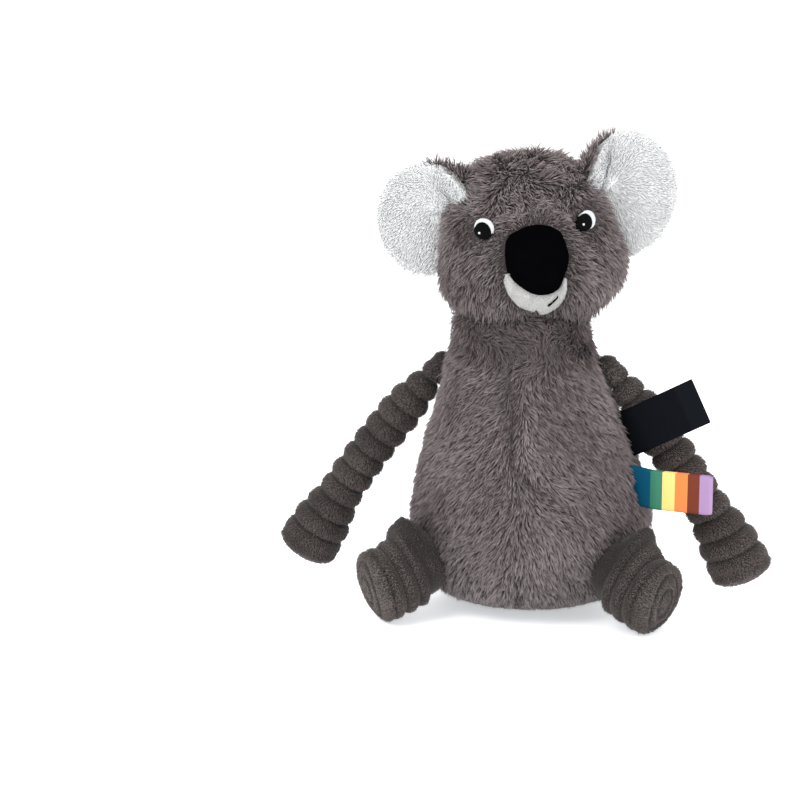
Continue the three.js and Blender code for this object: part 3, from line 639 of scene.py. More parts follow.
def body_skin():
    """The body's mesh, and for each point its heading, its seam and its fold."""
    mesh = plain_pear()
    points, rise = surface(mesh)
    angle = np.degrees(np.arctan2(points[:, 0], -points[:, 1]))
    radius, height = np.hypot(points[:, 0], points[:, 1]), points[:, 2]
    aside = np.radians(angle) * radius
    bowed = radius * np.radians(-3 + 24 * smooth(110 * mm, 76 * mm, height))
    fade = smooth(68 * mm, 92 * mm, height) * smooth(168 * mm, 150 * mm, height)
    low_seam = bell(aside, low_seam_wide) * smooth(5 * mm, 9 * mm, height)
    seam = bell(aside - bowed, seam_wide) * fade + low_seam * smooth(34 * mm, 24 * mm, height)
    fold = bell(aside - bowed - fold_aside, fold_wide) * fade
    fold = fold * smooth(140 * mm, 110 * mm, height)
    lumps = ripple(points, 70 * mm, 3) * 1.1 * mm
    lumps = lumps - smooth(150 * mm, 178 * mm, height) * 1.6 * mm + fold * fold_rise
    off_floor = smooth(4 * mm, 16 * mm, height)[:, None]
    points = points + rise * off_floor * (lumps - seam * seam_deep)[:, None]
    points[:, 0] += np.interp(points[:, 2] / mm, lean_levels, lean_aside) * mm
    low_front = smooth(26 * mm, 4 * mm, points[:, 2]) * smooth(0, -30 * mm, points[:, 1])
    points[:, 2] += 3.2 * mm * low_front
    points[:, 1] += 3.0 * mm * low_front
    put_points(mesh, points)
    return mesh, angle, seam, fold


# %% [markdown]
# On the real toy the pile parts along the belly's middle seam: it falls down and away to both
# sides. Round the neck it stands up and points every way, where the head presses on it. Both
# are fields on the skin, so the same tufts can lie flat on the belly and stand at the neck.

# %% Body pile
mesh, angle, seam, fold = body_skin()
points, rise = surface(mesh)
height = points[:, 2]
skyward = unit(up - rise * rise[:, 2:3])
sideways = np.cross(rise, skyward)
sideways *= np.sign(dot(sideways, heading(angle + 90)))
front = np.cos(np.radians(angle)) > 0
from_seam = np.where(front, np.abs(angle), 180 - np.abs(angle))
at_neck = smooth(146 * mm, 172 * mm, height)
parting = np.radians(34 - 26 * smooth(10, 90, from_seam)) * (1 - at_neck)
parting = parting * np.where(front, 1, -1) * np.tanh(angle / 7)
flow = -skyward * np.cos(parting)[:, None] + sideways * np.sin(parting)[:, None]
swirl = ripple(points, 44 * mm, 8) * (0.2 + 1.1 * at_neck)
swirl += ripple(points, 14 * mm, 9) * (0.1 + 0.4 * at_neck)
under = smooth(3 * mm, 24 * mm, height)
length = (0.25 + 0.75 * under) * (1 + 0.15 * at_neck) * (1 - 0.4 * seam)
thick = (0.5 + 0.5 * under) * smooth(200 * mm, 194 * mm, height)
# Painted light and shade in the pile's paleness: darker in the seam's valley and round the neck
# under the chin, as painted shade, paler on the fold's roll, as a painted highlight, and paler
# towards the toy's left side, as painted light.
pale = 0.21 + points[:, 0] * 1.4 + 0.25 * ripple(points, 50 * mm, 4) - 0.9 * seam + 0.35 * fold
pale -= 0.8 * smooth(158 * mm, 178 * mm, height)
lay_pile(mesh, turned(flow, rise, swirl), length, thick, pale)
body_nodes = [f"torso_{end}_{side}" for end in ("front", "back") for side in ("left", "right")]
body_nodes += ["torso_base", "torso_stuffing", "pellet_bag"]
grow("body_fur", mesh, "torso", body_nodes, "body", 11, floor_gap)

# %% [markdown]
# The head is one broad, squared-off form: a crown strip from the brow to the nape and a panel
# on either side, filled hard. It could be made in its tilted pose straight away, but an upright
# head is easier to measure, so it is made upright and then tilted and turned.

# %% Head form
head_half_width, face_depth, nape_depth, head_widest = 60 * mm, 56 * mm, 50 * mm, 217 * mm
crown_rise, jowl_drop, crown_square, jowl_square = 81 * mm, 34 * mm, 2.45, 2.0
head_turn, head_tilt = math.radians(12.5), math.radians(5.2)
drawn_levels = (190, 200, 212, 226, 240, 252, 275)
drawn_left, drawn_right = (1, 0, -2, -4, -1, 1, 1), (5, 5, 3, 2.5, 2.5, 2.5, 1)


def turn_like_head(vectors):
    """Turns vectors the way the head is tilted and turned."""
    x, z = rotated(vectors[:, 0], vectors[:, 2], head_tilt)
    x, y = rotated(x, vectors[:, 1], head_turn)
    return np.stack([x, y, z], -1)


def pose_head(points):
    return turn_like_head(points - up * head_widest) + up * head_widest


face_ahead = turn_like_head(np.array([[0.0, -1.0, 0.0]]))[0]


def head_skin():
    around = np.radians(np.linspace(-180, 180, 129)[:-1])
    level = np.radians(np.linspace(-87, 87, 76))[:, None]
    above = level > 0
    power = np.where(above, 2 / crown_square, 2 / jowl_square)
    tall = np.where(above, crown_rise, jowl_drop) * np.abs(np.sin(level)) ** power
    height = head_widest + np.sign(level) * tall
    full = np.maximum(np.cos(level), 0) ** power
    depth = np.where(np.cos(around) > 0, face_depth, nape_depth)
    x, y = head_half_width * full * np.sin(around), -depth * full * np.cos(around)
    ends = (0, 0, head_widest - jowl_drop), (0, 0, head_widest + crown_rise)
    mesh = skin_of("head", np.stack([x, y, np.broadcast_to(height, x.shape)], -1), *ends)
    push_out(mesh, -pile_depth)
    push_out(mesh, ripple(points_of(mesh), 60 * mm, 21) * 0.7 * mm)
    points = points_of(mesh)
    left, right = (np.interp(points[:, 2] / mm, drawn_levels, row)
                   for row in (drawn_left, drawn_right))
    drawn = np.where(points[:, 0] > 0, left, right)
    aside = smooth(0.45, 1.0, np.abs(points[:, 0]) / head_half_width)
    points[:, 0] -= np.sign(points[:, 0]) * drawn * aside * mm
    put_points(mesh, points)
    return mesh


def head_fullness(height):
    above = height > head_widest
    share = np.abs(height - head_widest) / np.where(above, crown_rise, jowl_drop)
    square = np.where(above, crown_square, jowl_square)
    return np.maximum(1 - np.clip(share, 0, 1) ** square, 0) ** (1 / square)


# %% [markdown]
# Face pieces lie on the front of the head, so each is drawn flat, as a maker cuts it, and then
# laid on the head's curve. A shrinkwrap modifier would do that too, but this keeps the rims of
# neighbouring pieces in step, because both come from the same rule.


# %% Points on the face
def face_depth_at(x, z):
    full = np.maximum(head_fullness(z), 1e-3)
    aside = np.clip(x / (head_half_width * full), -1, 1)
    return -face_depth * full * np.sqrt(np.maximum(1 - aside ** 2, 0))


def face_point(x, z, lift):
    """Points raised above the front of the upright head by a lift along its own outward side."""
    step = 0.06 * mm
    slope_x = (face_depth_at(x + step, z) - face_depth_at(x - step, z)) / (2 * step)
    slope_z = (face_depth_at(x, z + step) - face_depth_at(x, z - step)) / (2 * step)
    rise = unit(np.stack([slope_x, -np.ones_like(slope_x), slope_z], -1))
    return np.stack([x, face_depth_at(x, z), z], -1) + rise * np.asarray(lift)[..., None]


# %% [markdown]
# The nose is one wide oval of velvet and the lip a crescent under it. Both outlines come from
# one rule, so that they meet all round, and the same outlines tell the fur where to stop. Two
# traced curves could drift apart. Small corrections, in mm, follow how the pieces were cut.

# %% Outlines on the face
nose_width, nose_tall, nose_middle, lip_puff = 42.5 * mm, 43.5 * mm, 234 * mm, 4 * mm
nose_turns, nose_drawn = zip(  # an angle round the nose, and how far out it is drawn there
    (0, -0.6), (15, -1.3), (30, -0.9), (45, 0.1), (60, -0.2), (90, 0.1), (120, -0.2), (135, 1.1),
    (150, 1.1), (165, 0.5), (180, 1.2), (195, 2.1), (210, 1.8), (225, 1.0), (270, 0.7),
    (300, 0.2), (315, -0.9), (330, -1.9), (345, -1.2),
)
lip_sweeps, lip_widths = zip(  # an angle from straight down, and the crescent's width there
    (-76, 0.3), (-69, 3.8), (-51, 7.9), (-35, 9.8), (-20, 9.7), (-5, 10.4), (10, 9.5),
    (25, 7.0), (39, 4.1), (53, 0.4),
)
eye_apart, eye_height, eye_radius, eye_white_radius = 62 * mm, 252.8 * mm, 5.3 * mm, 5.7 * mm


def nose_rim(angle, margin):
    c, s = np.cos(angle), np.sin(angle)
    drawn = 1 - 0.18 * (1 - s) / 2
    x = (nose_width / 2 + margin) * np.sign(c) * np.abs(c) ** 0.92 * drawn
    tall = (nose_tall / 2 + margin) * np.sign(s) * np.abs(s) ** 0.9
    z = nose_middle + tall * (1 - 0.04 * (s > 0))
    x = x + 2.6 * mm * ((1 - s) / 2) ** 2
    wider = np.interp(np.degrees(angle), nose_turns, nose_drawn, period=360)
    wider = 1 + wider * mm / (nose_width / 2)
    return x * wider, nose_middle + (z - nose_middle) * wider


def lip_width_at(sweep):
    """The crescent's width at an angle from straight down, 0 outside its two tips."""
    return np.interp(sweep, lip_sweeps, lip_widths, left=0, right=0) * mm


def outside_face_pieces(x, z):
    """How far points of the face lie outside the nose, the lip and the eyes, in metres."""
    angle = np.linspace(-180, 180, 361)
    rim_x, rim_z = nose_rim(np.radians(angle), lip_width_at(wrapped(angle + 90)))
    rim_turn = np.arctan2(rim_z - nose_middle, rim_x)
    order, rim_reach = np.argsort(rim_turn), np.hypot(rim_x, rim_z - nose_middle)
    here = np.arctan2(z - nose_middle, x)
    edge = np.interp(here, rim_turn[order], rim_reach[order], period=2 * math.pi)
    off = np.hypot(x, z - nose_middle) - edge
    for side in (-1, 1):
        to_eye = np.hypot(x - side * eye_apart / 2, z - eye_height)
        off = np.minimum(off, to_eye - eye_radius - 0.7 * mm)
    return off


# %% [markdown]
# The head's pile grows away from the nose, then down over the cheeks, and it stands ruffled on
# the brow. None grows where the face pieces sit, and it is short at their rims. Combing it by
# hand would take long, and would have to be done again after each change of form.

# %% Head pile
mesh = head_skin()
points, rise = surface(mesh)
off = outside_face_pieces(points[:, 0], points[:, 2])
off = np.where(points[:, 1] < 0, off, 1.0)
from_nose = points - np.array([0, -face_depth, nose_middle])
near = smooth(55 * mm, 12 * mm, np.linalg.norm(from_nose, axis=1))[:, None]
down = unit(-up + rise * rise[:, 2:3])
flow = unit(along_skin(from_nose, rise) * (0.25 + 0.7 * near) + down * (1.0 - 0.55 * near))
brow = smooth(252 * mm, 272 * mm, points[:, 2])
swirl = ripple(points, 34 * mm, 31) * (0.25 + 1.1 * brow)
swirl += ripple(points, 12 * mm, 32) * (0.15 + 0.3 * brow)
off_axis = np.hypot(points[:, 0], points[:, 1])
outside_neck = smooth(188 * mm, 193 * mm, points[:, 2] + 0.1 * off_axis)
jaw = smooth(206 * mm, 192 * mm, points[:, 2])
length = (0.42 + 0.58 * smooth(0, 11 * mm, off)) * (1 + 0.35 * jaw)
# Painted light and shade in the pile's paleness: darker at the jaw, as painted shade under the
# chin, and paler on the brow and towards the toy's left side, as painted light.
pale = 0.05 + points[:, 0] * 1.6 + 0.25 * ripple(points, 45 * mm, 6) + 0.37 * brow - 0.35 * jaw
thick = smooth(-0.6 * mm, 0.9 * mm, off) * outside_neck
lay_pile(mesh, turned(flow, rise, swirl), length, thick, pale)
for name in ("rise", "flow"):
    upright = np.zeros(len(points) * 3, np.float32)
    mesh.attributes[name].data.foreach_get("vector", upright)
    keep_field(mesh, name, turn_like_head(upright.reshape(-1, 3)))
put_points(mesh, pose_head(points))
head_nodes = ["head_crown", "head_left_side", "head_right_side", "head_stuffing"]
grow("head_fur", mesh, "head", head_nodes, "head", 12)

# %% [markdown]
# Each ear is two layers: a white plush dish in front and a grey fur one behind. The upper inner
# edge is drawn forward, so the dish cups, and there the white layer rolls over. Bent discs
# would do, but one rule for a point of the dish, by its share of the radius and its angle, lets
# both layers match along the rim.

# %% Ear form
ear_apart, ear_height, ear_swung, roll_at = 124 * mm, 263 * mm, 12, 142
ears = {  # the left ear is larger and taller; drawn is for the white layer and for the grey one
    "left": SimpleNamespace(
        side=1, radius=34.6 * mm, tall=1.12, lift=2.4 * mm, spots=0.3, drawn=(0.55, 0.2),
    ),
    "right": SimpleNamespace(
        side=-1, radius=33.4 * mm, tall=1, lift=0, spots=0, drawn=(0.4, 0.0),
    ),
}


def ear_lobe(angle, share):
    """How strongly the rim is drawn forward here, from 0 to 1."""
    return bell(wrapped(angle - roll_at), 40) * share


def ear_point(ear, share, angle, radius, back, drawn, draw):
    lobe, around = ear_lobe(angle, share), wrapped(angle)
    if ear.side > 0:
        fuller = 1 + 0.06 * smooth(-30, 5, around) * smooth(115, 75, around)
    else:
        fuller = 1 + 0.09 * bell(around + 80, 40)
    out = radius * share * (1 - drawn * lobe) * fuller
    forward = 8 * mm * share ** 2 + draw * lobe - back
    turn = np.radians(angle)
    return np.stack([ear.side * out * np.cos(turn), -forward, out * np.sin(turn) * ear.tall], -1)


def ear_skin(name, ear, radius, front, back, drawn, draw):
    """One layer of an ear and its centre. For each point: share of radius, lobe, low rim."""
    angle, share = np.linspace(0, 360, 85)[:-1], np.linspace(0.06, 1, 18)
    rim = [(1.02, front + (back - front) * 0.5)]
    rows = [(s, front) for s in share] + rim + [(s, back) for s in share[::-1]]
    rings = np.stack([
        ear_point(ear, np.full_like(angle, s), angle, radius, b, drawn, draw) for s, b in rows
    ])
    mesh = skin_of(name, rings, (0, front, 0), (0, back, 0))
    points = points_of(mesh)
    x, y = rotated(points[:, 0], points[:, 1], math.radians(-ear.side * ear_swung))
    centre = np.array([ear.side * ear_apart / 2, 4 * mm, ear_height + ear.lift])
    put_points(mesh, pose_head(np.stack([x, y, points[:, 2]], -1) + centre))
    shares = np.append(np.repeat([s for s, _ in rows], len(angle)), [0, 0])
    lobes, low_rim = (np.append(np.tile(values, len(rows)), [0, 0])
                      for values in (ear_lobe(angle, 1.0), bell(wrapped(angle + 55), 32)))
    return mesh, pose_head(centre[None])[0], shares, lobes, low_rim


def outside_head(points):
    """How far points lie outside the posed head's form, roughly, in metres."""
    x, y = rotated(points[:, 0], points[:, 1], -head_turn)
    x, z = rotated(x, points[:, 2] - head_widest, -head_tilt)
    depth = np.where(y < 0, face_depth, nape_depth)
    full = np.maximum(head_fullness(z + head_widest), 1e-3)
    return (np.hypot(x / head_half_width, y / depth) - full) * depth


# %% [markdown]
# The white plush lies flat, outwards and down. The grey fur behind lies inwards near the rim,
# and it shows from the front only where the upper inner edge turns over. Pile grows on the
# sides that can be seen, since tufts inside the other layer would only cost faces.


# %% Ear pile
def rolled(share, lobe):
    """How far the drawn edge rolls over here, from 0 to 1."""
    return smooth(0.12, 0.55, lobe) * bell(share - 0.84, 0.27)


def dress_ear_inner(word, ear):
    layer = (ear.radius, 1 * mm, 3.4 * mm, ear.drawn[0], 24 * mm)
    mesh, centre, share, lobe, _ = ear_skin(f"{word}_ear_inner", ear, *layer)
    roll = rolled(share, lobe)
    push_out(mesh, roll * (5.6 * mm))
    points, rise = surface(mesh)
    flow = unit(points - centre) * 0.8 * smooth(0.03, 0.4, share)[:, None]
    flow = flow - up * 0.3 + np.array([ear.side * 0.4, 0, 0])
    flow = turned(along_skin(flow, rise), rise, ripple(points, 22 * mm, 41) * 0.4)
    thick = smooth(-1 * mm, 1.5 * mm, outside_head(points)) * smooth(-0.7, -0.1, rise @ face_ahead)
    # Painted light and shade: the rolled-over edge is painted darker, as it faces the light, and
    # the dish just below the roll darker still, as the roll's painted shadow.
    pale = 0.7 + 0.2 * ripple(points, 30 * mm, 9) - 0.75 * roll
    pale -= 0.4 * smooth(0.1, 0.5, lobe) * bell(share - 0.42, 0.14)
    lay_pile(mesh, flow, np.ones_like(share), thick, pale)
    grow(f"{word}_ear_white_plush", mesh, "head", [f"{word}_ear_inner"], "plush", 20 + ear.side)


def dress_ear_back(word, ear):
    layer = (ear.radius - 1.6 * mm, 4.2 * mm, 6.4 * mm, ear.drawn[1], 27 * mm)
    mesh, centre, share, lobe, low_rim = ear_skin(f"{word}_ear_back", ear, *layer)
    push_out(mesh, rolled(share, lobe) * (1.0 * mm))
    points, rise = surface(mesh)
    away, facing = unit(points - centre), rise @ face_ahead
    band = smooth(0.06, 0.26, lobe)[:, None]
    rimward = smooth(0.6, 0.85, share)[:, None]
    swept = np.array([ear.side * 0.3, 0, 0.4]) + away
    inward = -up * (1 - 0.7 * rimward) - away * (0.5 + 0.5 * rimward)
    flow = along_skin(swept * band + inward * (1 - band), rise)
    flow = turned(flow, rise, ripple(points, 22 * mm, 41) * 0.4)
    spots = ear.spots * low_rim * smooth(0.1, 0.5, ripple(points, 9 * mm, 77))
    at_rim = smooth(0.68, 0.84, share) * (1 - band[:, 0]) * (1 - spots)
    turned_over = smooth(0.5, 0.8, lobe) * smooth(0.6, 0.8, share)
    shown = np.maximum(smooth(0.5, 0.1, facing + 0.4 * at_rim), turned_over)
    thick = smooth(-1 * mm, 1.5 * mm, outside_head(points)) * shown
    lay_pile(mesh, flow, 1 - 0.5 * at_rim, thick, 0.4 + 0.3 * ripple(points, 30 * mm, 9))
    grow(f"{word}_ear_fur", mesh, "head", [f"{word}_ear_back"], "ear", 24 + ear.side)


for word, ear in ears.items():
    dress_ear_inner(word, ear)
    dress_ear_back(word, ear)

# %% [markdown]
# Arms and legs are tubes of wide corduroy: fat round wales with a deep narrow valley between
# them, sewn across the limb and stuffed. A modifier could press the wales in, but a rule for
# the radius along the limb's bent middle line gives crisp valleys and keeps them where the
# sewn cloth has them. The legs end in a broad sole with two round wales and have a haunch.

# %% Limb measures
sole_dome, nap_depth = 9 * mm, 1.2 * mm
sway_levels = (0, 60, 100, 130, 156)
arm = {
    "pitch": 13 * mm, "length": 156 * mm, "root_lean": 42, "root": 9 * mm, "middle": 15.3 * mm,
    "end": 21 * mm, "middle_share": 0.28, "end_share": 0.68, "valley": 3.3 * mm, "sharp": 0.55,
    "sole_rings": (), "haunch": 0, "haunch_at": 0,
}
leg = {
    "pitch": 28 / 3 * mm, "length": 28 * mm, "root_lean": 68, "root": 21 * mm, "middle": 25 * mm,
    "end": 25 * mm, "middle_share": 0.22, "end_share": 0.22, "valley": 2.8 * mm, "sharp": 0.8,
    "sole_rings": (0.4, 0.78), "haunch": 16.5 * mm, "end_lean": 74, "sway": (0, 0, 0, 0, 0),
}
own = {  # what each limb has of its own; its shade is painted light and shade, and a shade above 0 is paler
    "left_arm": {"end_lean": 23, "sway": (-4.5, -4.8, -3, 0, 1.5), "shade": 0.17},
    "left_leg": {"haunch_at": 3 * mm, "shade": -0.06},
    "right_arm": {"end_lean": 30, "sway": (0, 0.5, 0.5, 0, 0), "shade": -0.12},
    "right_leg": {"haunch_at": -3 * mm, "shade": 0.18},
}
kinds = {  # shared measures, joint, heading, halves
    "arm": (arm, "shoulder", 90.0, ("front", "back")),
    "leg": (leg, "hip", 56.0, ("inner", "outer")),
}
limbs = {}
for name in own:
    word, kind = name.split("_")
    shared, joint, out, halves = kinds[kind]
    limbs[name] = SimpleNamespace(
        **shared | own[name], kind=kind, pivot=np.array(joints[f"{word}_{joint}"]["pos_m"]),
        out=heading(np.array(out if word == "left" else -out)),
        nodes=[f"{name}_{half}" for half in (*halves, "stuffing")],
    )
print("limbs", list(limbs))

# %% [markdown]
# The skin of a limb is swept along its bent middle line: first the ball that sits in the side
# seam, then the wales, then the sole. A screw modifier makes such tubes too, but not ones whose
# radius and bend change. Valleys, ridges and the haunch's fold are kept for each point, because
# the nap is thinner, paler or darker there.


# %% Limb form
def swell(limb, s):
    t = np.clip(s / limb.length, 0, 1)
    root = limb.root + (limb.middle - limb.root) * smooth(0, limb.middle_share, t)
    return root + (limb.end - root) * smooth(limb.end_share, 0.93, t)


def limb_place(limb, s):
    """Points on the limb's bent middle line and the way it runs there."""
    start = math.radians(limb.root_lean)
    bend = math.radians(limb.end_lean - limb.root_lean) / limb.length
    run = np.clip(s, 0, limb.length)
    lean = start + bend * run
    out = (math.cos(start) - np.cos(lean)) / bend
    drop = (np.sin(lean) - math.sin(start)) / bend
    along = limb.out * np.sin(lean)[:, None] - up * np.cos(lean)[:, None]
    middle = limb.pivot + limb.out * out[:, None] - up * drop[:, None]
    return middle + along * (s - run)[:, None], along


def limb_skin(name, limb):
    """A limb's mesh, and for each point its run, ridge, line and flap, and the way it runs."""
    root, length = limb.root - nap_depth, limb.length
    ball = np.radians(np.linspace(-89, 0, 8)[:-1])
    body = np.linspace(0, length, int(length / mm) + 1)
    dome = np.radians(np.linspace(0, 88, 30)[1:])
    valley = 1 - np.abs(np.sin(math.pi * body / limb.pitch)) ** limb.sharp
    if not limb.sole_rings:
        valley = valley * smooth(length, length - 6 * mm, body)
    depth = limb.valley * valley * smooth(0, limb.pitch * 0.5, body)
    s = np.concatenate([
        root * np.sin(ball), body, length + (sole_dome - nap_depth) * np.sin(dome),
    ])
    radius = np.concatenate([
        root * np.cos(ball), swell(limb, body) - nap_depth - depth,
        (limb.end - nap_depth) * np.cos(dome),
    ])
    turn = np.linspace(0, 2 * math.pi, 73)[:-1]
    narrowed = 1.5 if limb.haunch else 1
    oval = np.cos(dome)[:, None] * np.hypot(np.cos(turn) * narrowed, np.sin(turn))

    def across(values):
        return values[:, None] + 0 * turn

    def on_sole(shift, wide):
        return sum(bell(oval - at - shift, wide) for at in limb.sole_rings) + 0 * oval

    bare = across(0 * ball)
    ring = np.concatenate([bare, across(0 * body), on_sole(0, 0.055)])
    ridge = 1 - ring - across(np.concatenate([0 * ball, valley, 0 * dome]))
    line = across(bell(body / limb.pitch % 1 - 0.16, 0.07))
    line = np.concatenate([bare, line, on_sole(0.1, 0.04)])
    middle, along = limb_place(limb, s)
    side = np.cross(limb.out, up)
    rise = np.cross(along, side)
    middle = middle + limb.out * (np.interp(s / mm, sway_levels, limb.sway) * mm)[:, None]
    haunch = (limb.haunch * bell(s - limb.haunch_at, 10 * mm))[:, None]
    climb = np.maximum(np.sin(turn)[None] * np.sign(rise @ up)[:, None], 0) ** 1.5
    reach_up = radius[:, None] + haunch * climb
    rings = middle[:, None] + radius[:, None, None] * (side * np.cos(turn)[None, :, None])
    rings = rings + reach_up[..., None] * (rise[:, None] * np.sin(turn)[None, :, None])
    rings = rings - along[:, None] * (ring * limb.valley * 0.5)[..., None]
    ends, _ = limb_place(limb, np.array([-root, length + sole_dome - nap_depth]))
    fields = [np.concatenate([values.ravel(), values[[0, -1], 0]])
              for values in (across(s), ridge, line, haunch * climb / (20 * mm))]
    along = np.concatenate([np.repeat(along, len(turn), 0), along[:1], along[-1:]])
    return skin_of(name, rings, *ends), *fields, along


# %% [markdown]
# Corduroy's nap is short, dense and brushed towards the paw. Its colour holds painted light and
# shade: pale on a ridge, with one paler line where the light catches each wale, and dark in the
# valleys, at the root and on the haunch's fold, where shade falls. A bump pattern would stay smooth
# at the outline, where tufts don't. Each limb also has its own painted shade, as the light falls on
# each one differently.

# %% Limb nap
for i, (name, limb) in enumerate(limbs.items()):
    mesh, run, ridge, line, flap, along = limb_skin(name, limb)
    points, rise = surface(mesh)
    flow = unit(along - rise * dot(along, rise) - up * 0.15)
    flow = turned(flow, rise, ripple(points, 18 * mm, 51 + i) * 0.25)
    sole = smooth(0, limb.length * 0.4, run) * (0.22 if limb.haunch else 0.0)
    # Painted light and shade: the root in the side seam and the haunch's fold are painted darker,
    # each limb is painted paler or darker by its shade, ridges and each wale's line are painted
    # paler than the valleys, and a leg's nap grows paler away from the body.
    dark = smooth(9 * mm, 1 * mm, run) * 0.1 + smooth(0.1, 0.5, flap) * 0.65 - limb.shade
    pale = 0.45 * ridge + 0.4 * line + sole - dark + 0.2 * ripple(points, 14 * mm, 61 + i)
    lay_pile(mesh, flow, 0.55 + 0.45 * ridge, smooth(0.12, 0.35, ridge), np.clip(pale, 0, 1))
    grow(f"{name}_corduroy", mesh, name, limb.nodes, limb.kind, 31 + i, floor_gap)

# %% [markdown]
# Velvet, thread and woven ribbon have almost no height of their own, so their look is in the
# shader: a little colour noise and a fine bump, and next to no shine. A picture of cloth would
# show its seams, but noise has none. Patterns read the piece's own coordinates, so they stay
# put when the toy moves.


# %% Smooth cloth finishes
def cloth_start(name, rough, specular):
    """A new finish: its graph, its shader's inputs and the place on the piece in mm."""
    finish = new_finish(name, {"Roughness": rough, "Specular IOR Level": specular})
    graph = finish[1]
    values = {0: graph.add("ShaderNodeTexCoord", output=3), "Scale": 1 / mm}
    return *finish, graph.add("ShaderNodeVectorMath", values, operation="SCALE")


def grain(graph, place, scale, detail=3):
    values = {"Vector": place, "Scale": scale, "Detail": detail}
    return graph.add("ShaderNodeTexNoise", values)


def pressed(graph, height, strength, distance):
    values = {"Strength": strength, "Distance": distance, "Height": height}
    return graph.add("ShaderNodeBump", values)


def plain_cloth(name, dark, pale, rough, specular, fine, depth):
    made, graph, inputs, place = cloth_start(name, rough, specular)
    patch = grain(graph, place, 0.12) * 0.5 + grain(graph, place, fine) * 0.5
    graph.link(graph.blend(patch, dark, pale), inputs["Base Color"])
    graph.link(pressed(graph, grain(graph, place, fine, 4), 0.6, depth), inputs["Normal"])
    return made


black_velvet = plain_cloth(
    "black nose velvet", (0.0005, 0.0005, 0.0008, 1), (0.0018, 0.0018, 0.0024, 1), 1.0, 0.0,
    1.6, 0.15 * mm,
)
black_thread = plain_cloth(
    "black embroidery thread", (0.0008, 0.0008, 0.001, 1), (0.003, 0.003, 0.0035, 1), 0.75, 0.05,
    3.0, 0.05 * mm,
)
white_thread = plain_cloth(
    "white embroidery thread", linear(186, 186, 188), linear(214, 214, 215), 0.6, 0.2,
    3.0, 0.05 * mm,
)

# %% [markdown]
# The nose is a padded cap of velvet, so it rises steeply at its sewn edge and is nearly flat
# on top. Rings that shrink along a rounded-off quarter circle give that at once. A remeshed
# and inflated pad would come out much the same, but it would lose the exact outline.


# %% Nose
def face_pad(name, rim, centre, rows, around):
    """A closed pad on the face from rows of (share of the outline, lift)."""
    rim_x, rim_z = rim(np.linspace(0, 2 * math.pi, around + 1)[:-1])
    x, z = centre
    rings = np.stack([
        face_point(x + (rim_x - x) * share, z + (rim_z - z) * share, np.full(around, lift))
        for share, lift in rows
    ])
    tips = [face_point(np.array([x]), np.array([z]), np.array([rows[i][1]]))[0] for i in (0, -1)]
    mesh = skin_of(name, rings, *tips)
    put_points(mesh, pose_head(points_of(mesh)))
    return mesh


def dome_rows(base, top, steps):
    turn = np.linspace(0, math.pi / 2, steps + 1)[:-1]
    under = [(share, base) for share in (0.35, 0.7, 0.95)]
    over = [(math.cos(t) ** 0.75, base + (top - base) * math.sin(t) ** 0.85) for t in turn]
    return under + over + [(0.06, top)]


def velvet_rim(angle):
    return nose_rim(angle, 0.4 * mm)


mesh = face_pad("nose", velvet_rim, (0, nose_middle), dome_rows(-2.5 * mm, 10 * mm, 16), 96)
finished(placed("velvet_nose", mesh), black_velvet, "head", ["nose"])

# %% [markdown]
# The lip is a thin crescent of white felt with a short nap, which peeps out from under the
# nose. It is wider on the toy's right, has a small crease near its middle, and thins to the
# left tip. Its rings are cross-sections that run along the crescent, so its width can change
# freely, which a scaled disc can't do.


# %% Lip
def lip_mesh():
    sweep = np.linspace(lip_sweeps[0], lip_sweeps[-1], 81)[1:-1]
    across = np.concatenate([np.linspace(0, 1, 15), np.linspace(0.9, 0.1, 7)])
    top = np.concatenate([np.ones(15), np.zeros(7)])
    crease, lobe = bell(sweep + 11, 2.6), bell(sweep + 1, 8)
    width = lip_width_at(sweep) - crease * 1.0 * mm + lobe * 0.6 * mm
    puff = 0.4 * mm + (lip_puff + 0.4 * mm) * np.sin(math.pi * np.clip(across, 0, 1)) ** 0.5
    rings = []
    for i, turn in enumerate(sweep):
        angle = np.full_like(across, math.radians(turn - 90))
        x, z = nose_rim(angle, -1.5 * mm + (width[i] + 1.5 * mm) * across)
        lift = np.where(top > 0, puff, -2.0 * mm) - crease[i] * 1.0 * mm * top * across
        rings.append(face_point(x, z, lift + lobe[i] * 0.5 * mm * top))
    mesh = skin_of("lip", np.stack(rings), rings[0].mean(0), rings[-1].mean(0))
    put_points(mesh, pose_head(points_of(mesh)))
    return mesh


mesh = lip_mesh()
points, rise = surface(mesh)
flow = turned(-up + 0 * points, rise, ripple(points, 9 * mm, 71) * 0.6)
thick, pale = smooth(-0.2, 0.2, rise @ face_ahead), 0.5 + 0.3 * ripple(points, 8 * mm, 72)
lay_pile(mesh, flow, np.ones(len(points)), thick, pale)
grow("felt_lip", mesh, "head", ["lower_lip"], "felt", 45)

# %% [markdown]
# Embroidery is thread laid side by side. Here each thread is a short line, and one Geometry
# Nodes tree gives all of them a round body of the thickness stored on their points, so that
# they catch the light as satin stitch does. Curves with a bevel would do for a few threads.


# %% Thread tree
def thread_tree():
    sockets = {"Lines": "Geometry", "Sides": "Int", "Finish": "Material"}
    graph, given = start_tree("lay threads", sockets)
    width = field(graph, "width")
    curves = graph.add("GeometryNodeMeshToCurve", {"Mesh": given["Lines"]})
    sized = graph.add("GeometryNodeSetCurveRadius", {"Curve": curves, "Radius": width})
    values = {"Resolution": given["Sides"], "Radius": 1.0}
    circle = graph.add("GeometryNodeCurvePrimitiveCircle", values)
    values = {"Curve": sized, "Profile Curve": circle, "Fill Caps": True}
    tubes = graph.add("GeometryNodeCurveToMesh", values)
    if "Scale" in tubes.socket.node.inputs:
        graph.link(width, tubes.socket.node.inputs["Scale"])
    real = graph.add("GeometryNodeRealizeInstances", {"Geometry": tubes})
    smoothed = graph.add("GeometryNodeSetShadeSmooth", {"Geometry": real})
    return end_tree(graph, smoothed, given["Finish"])


threads = thread_tree()


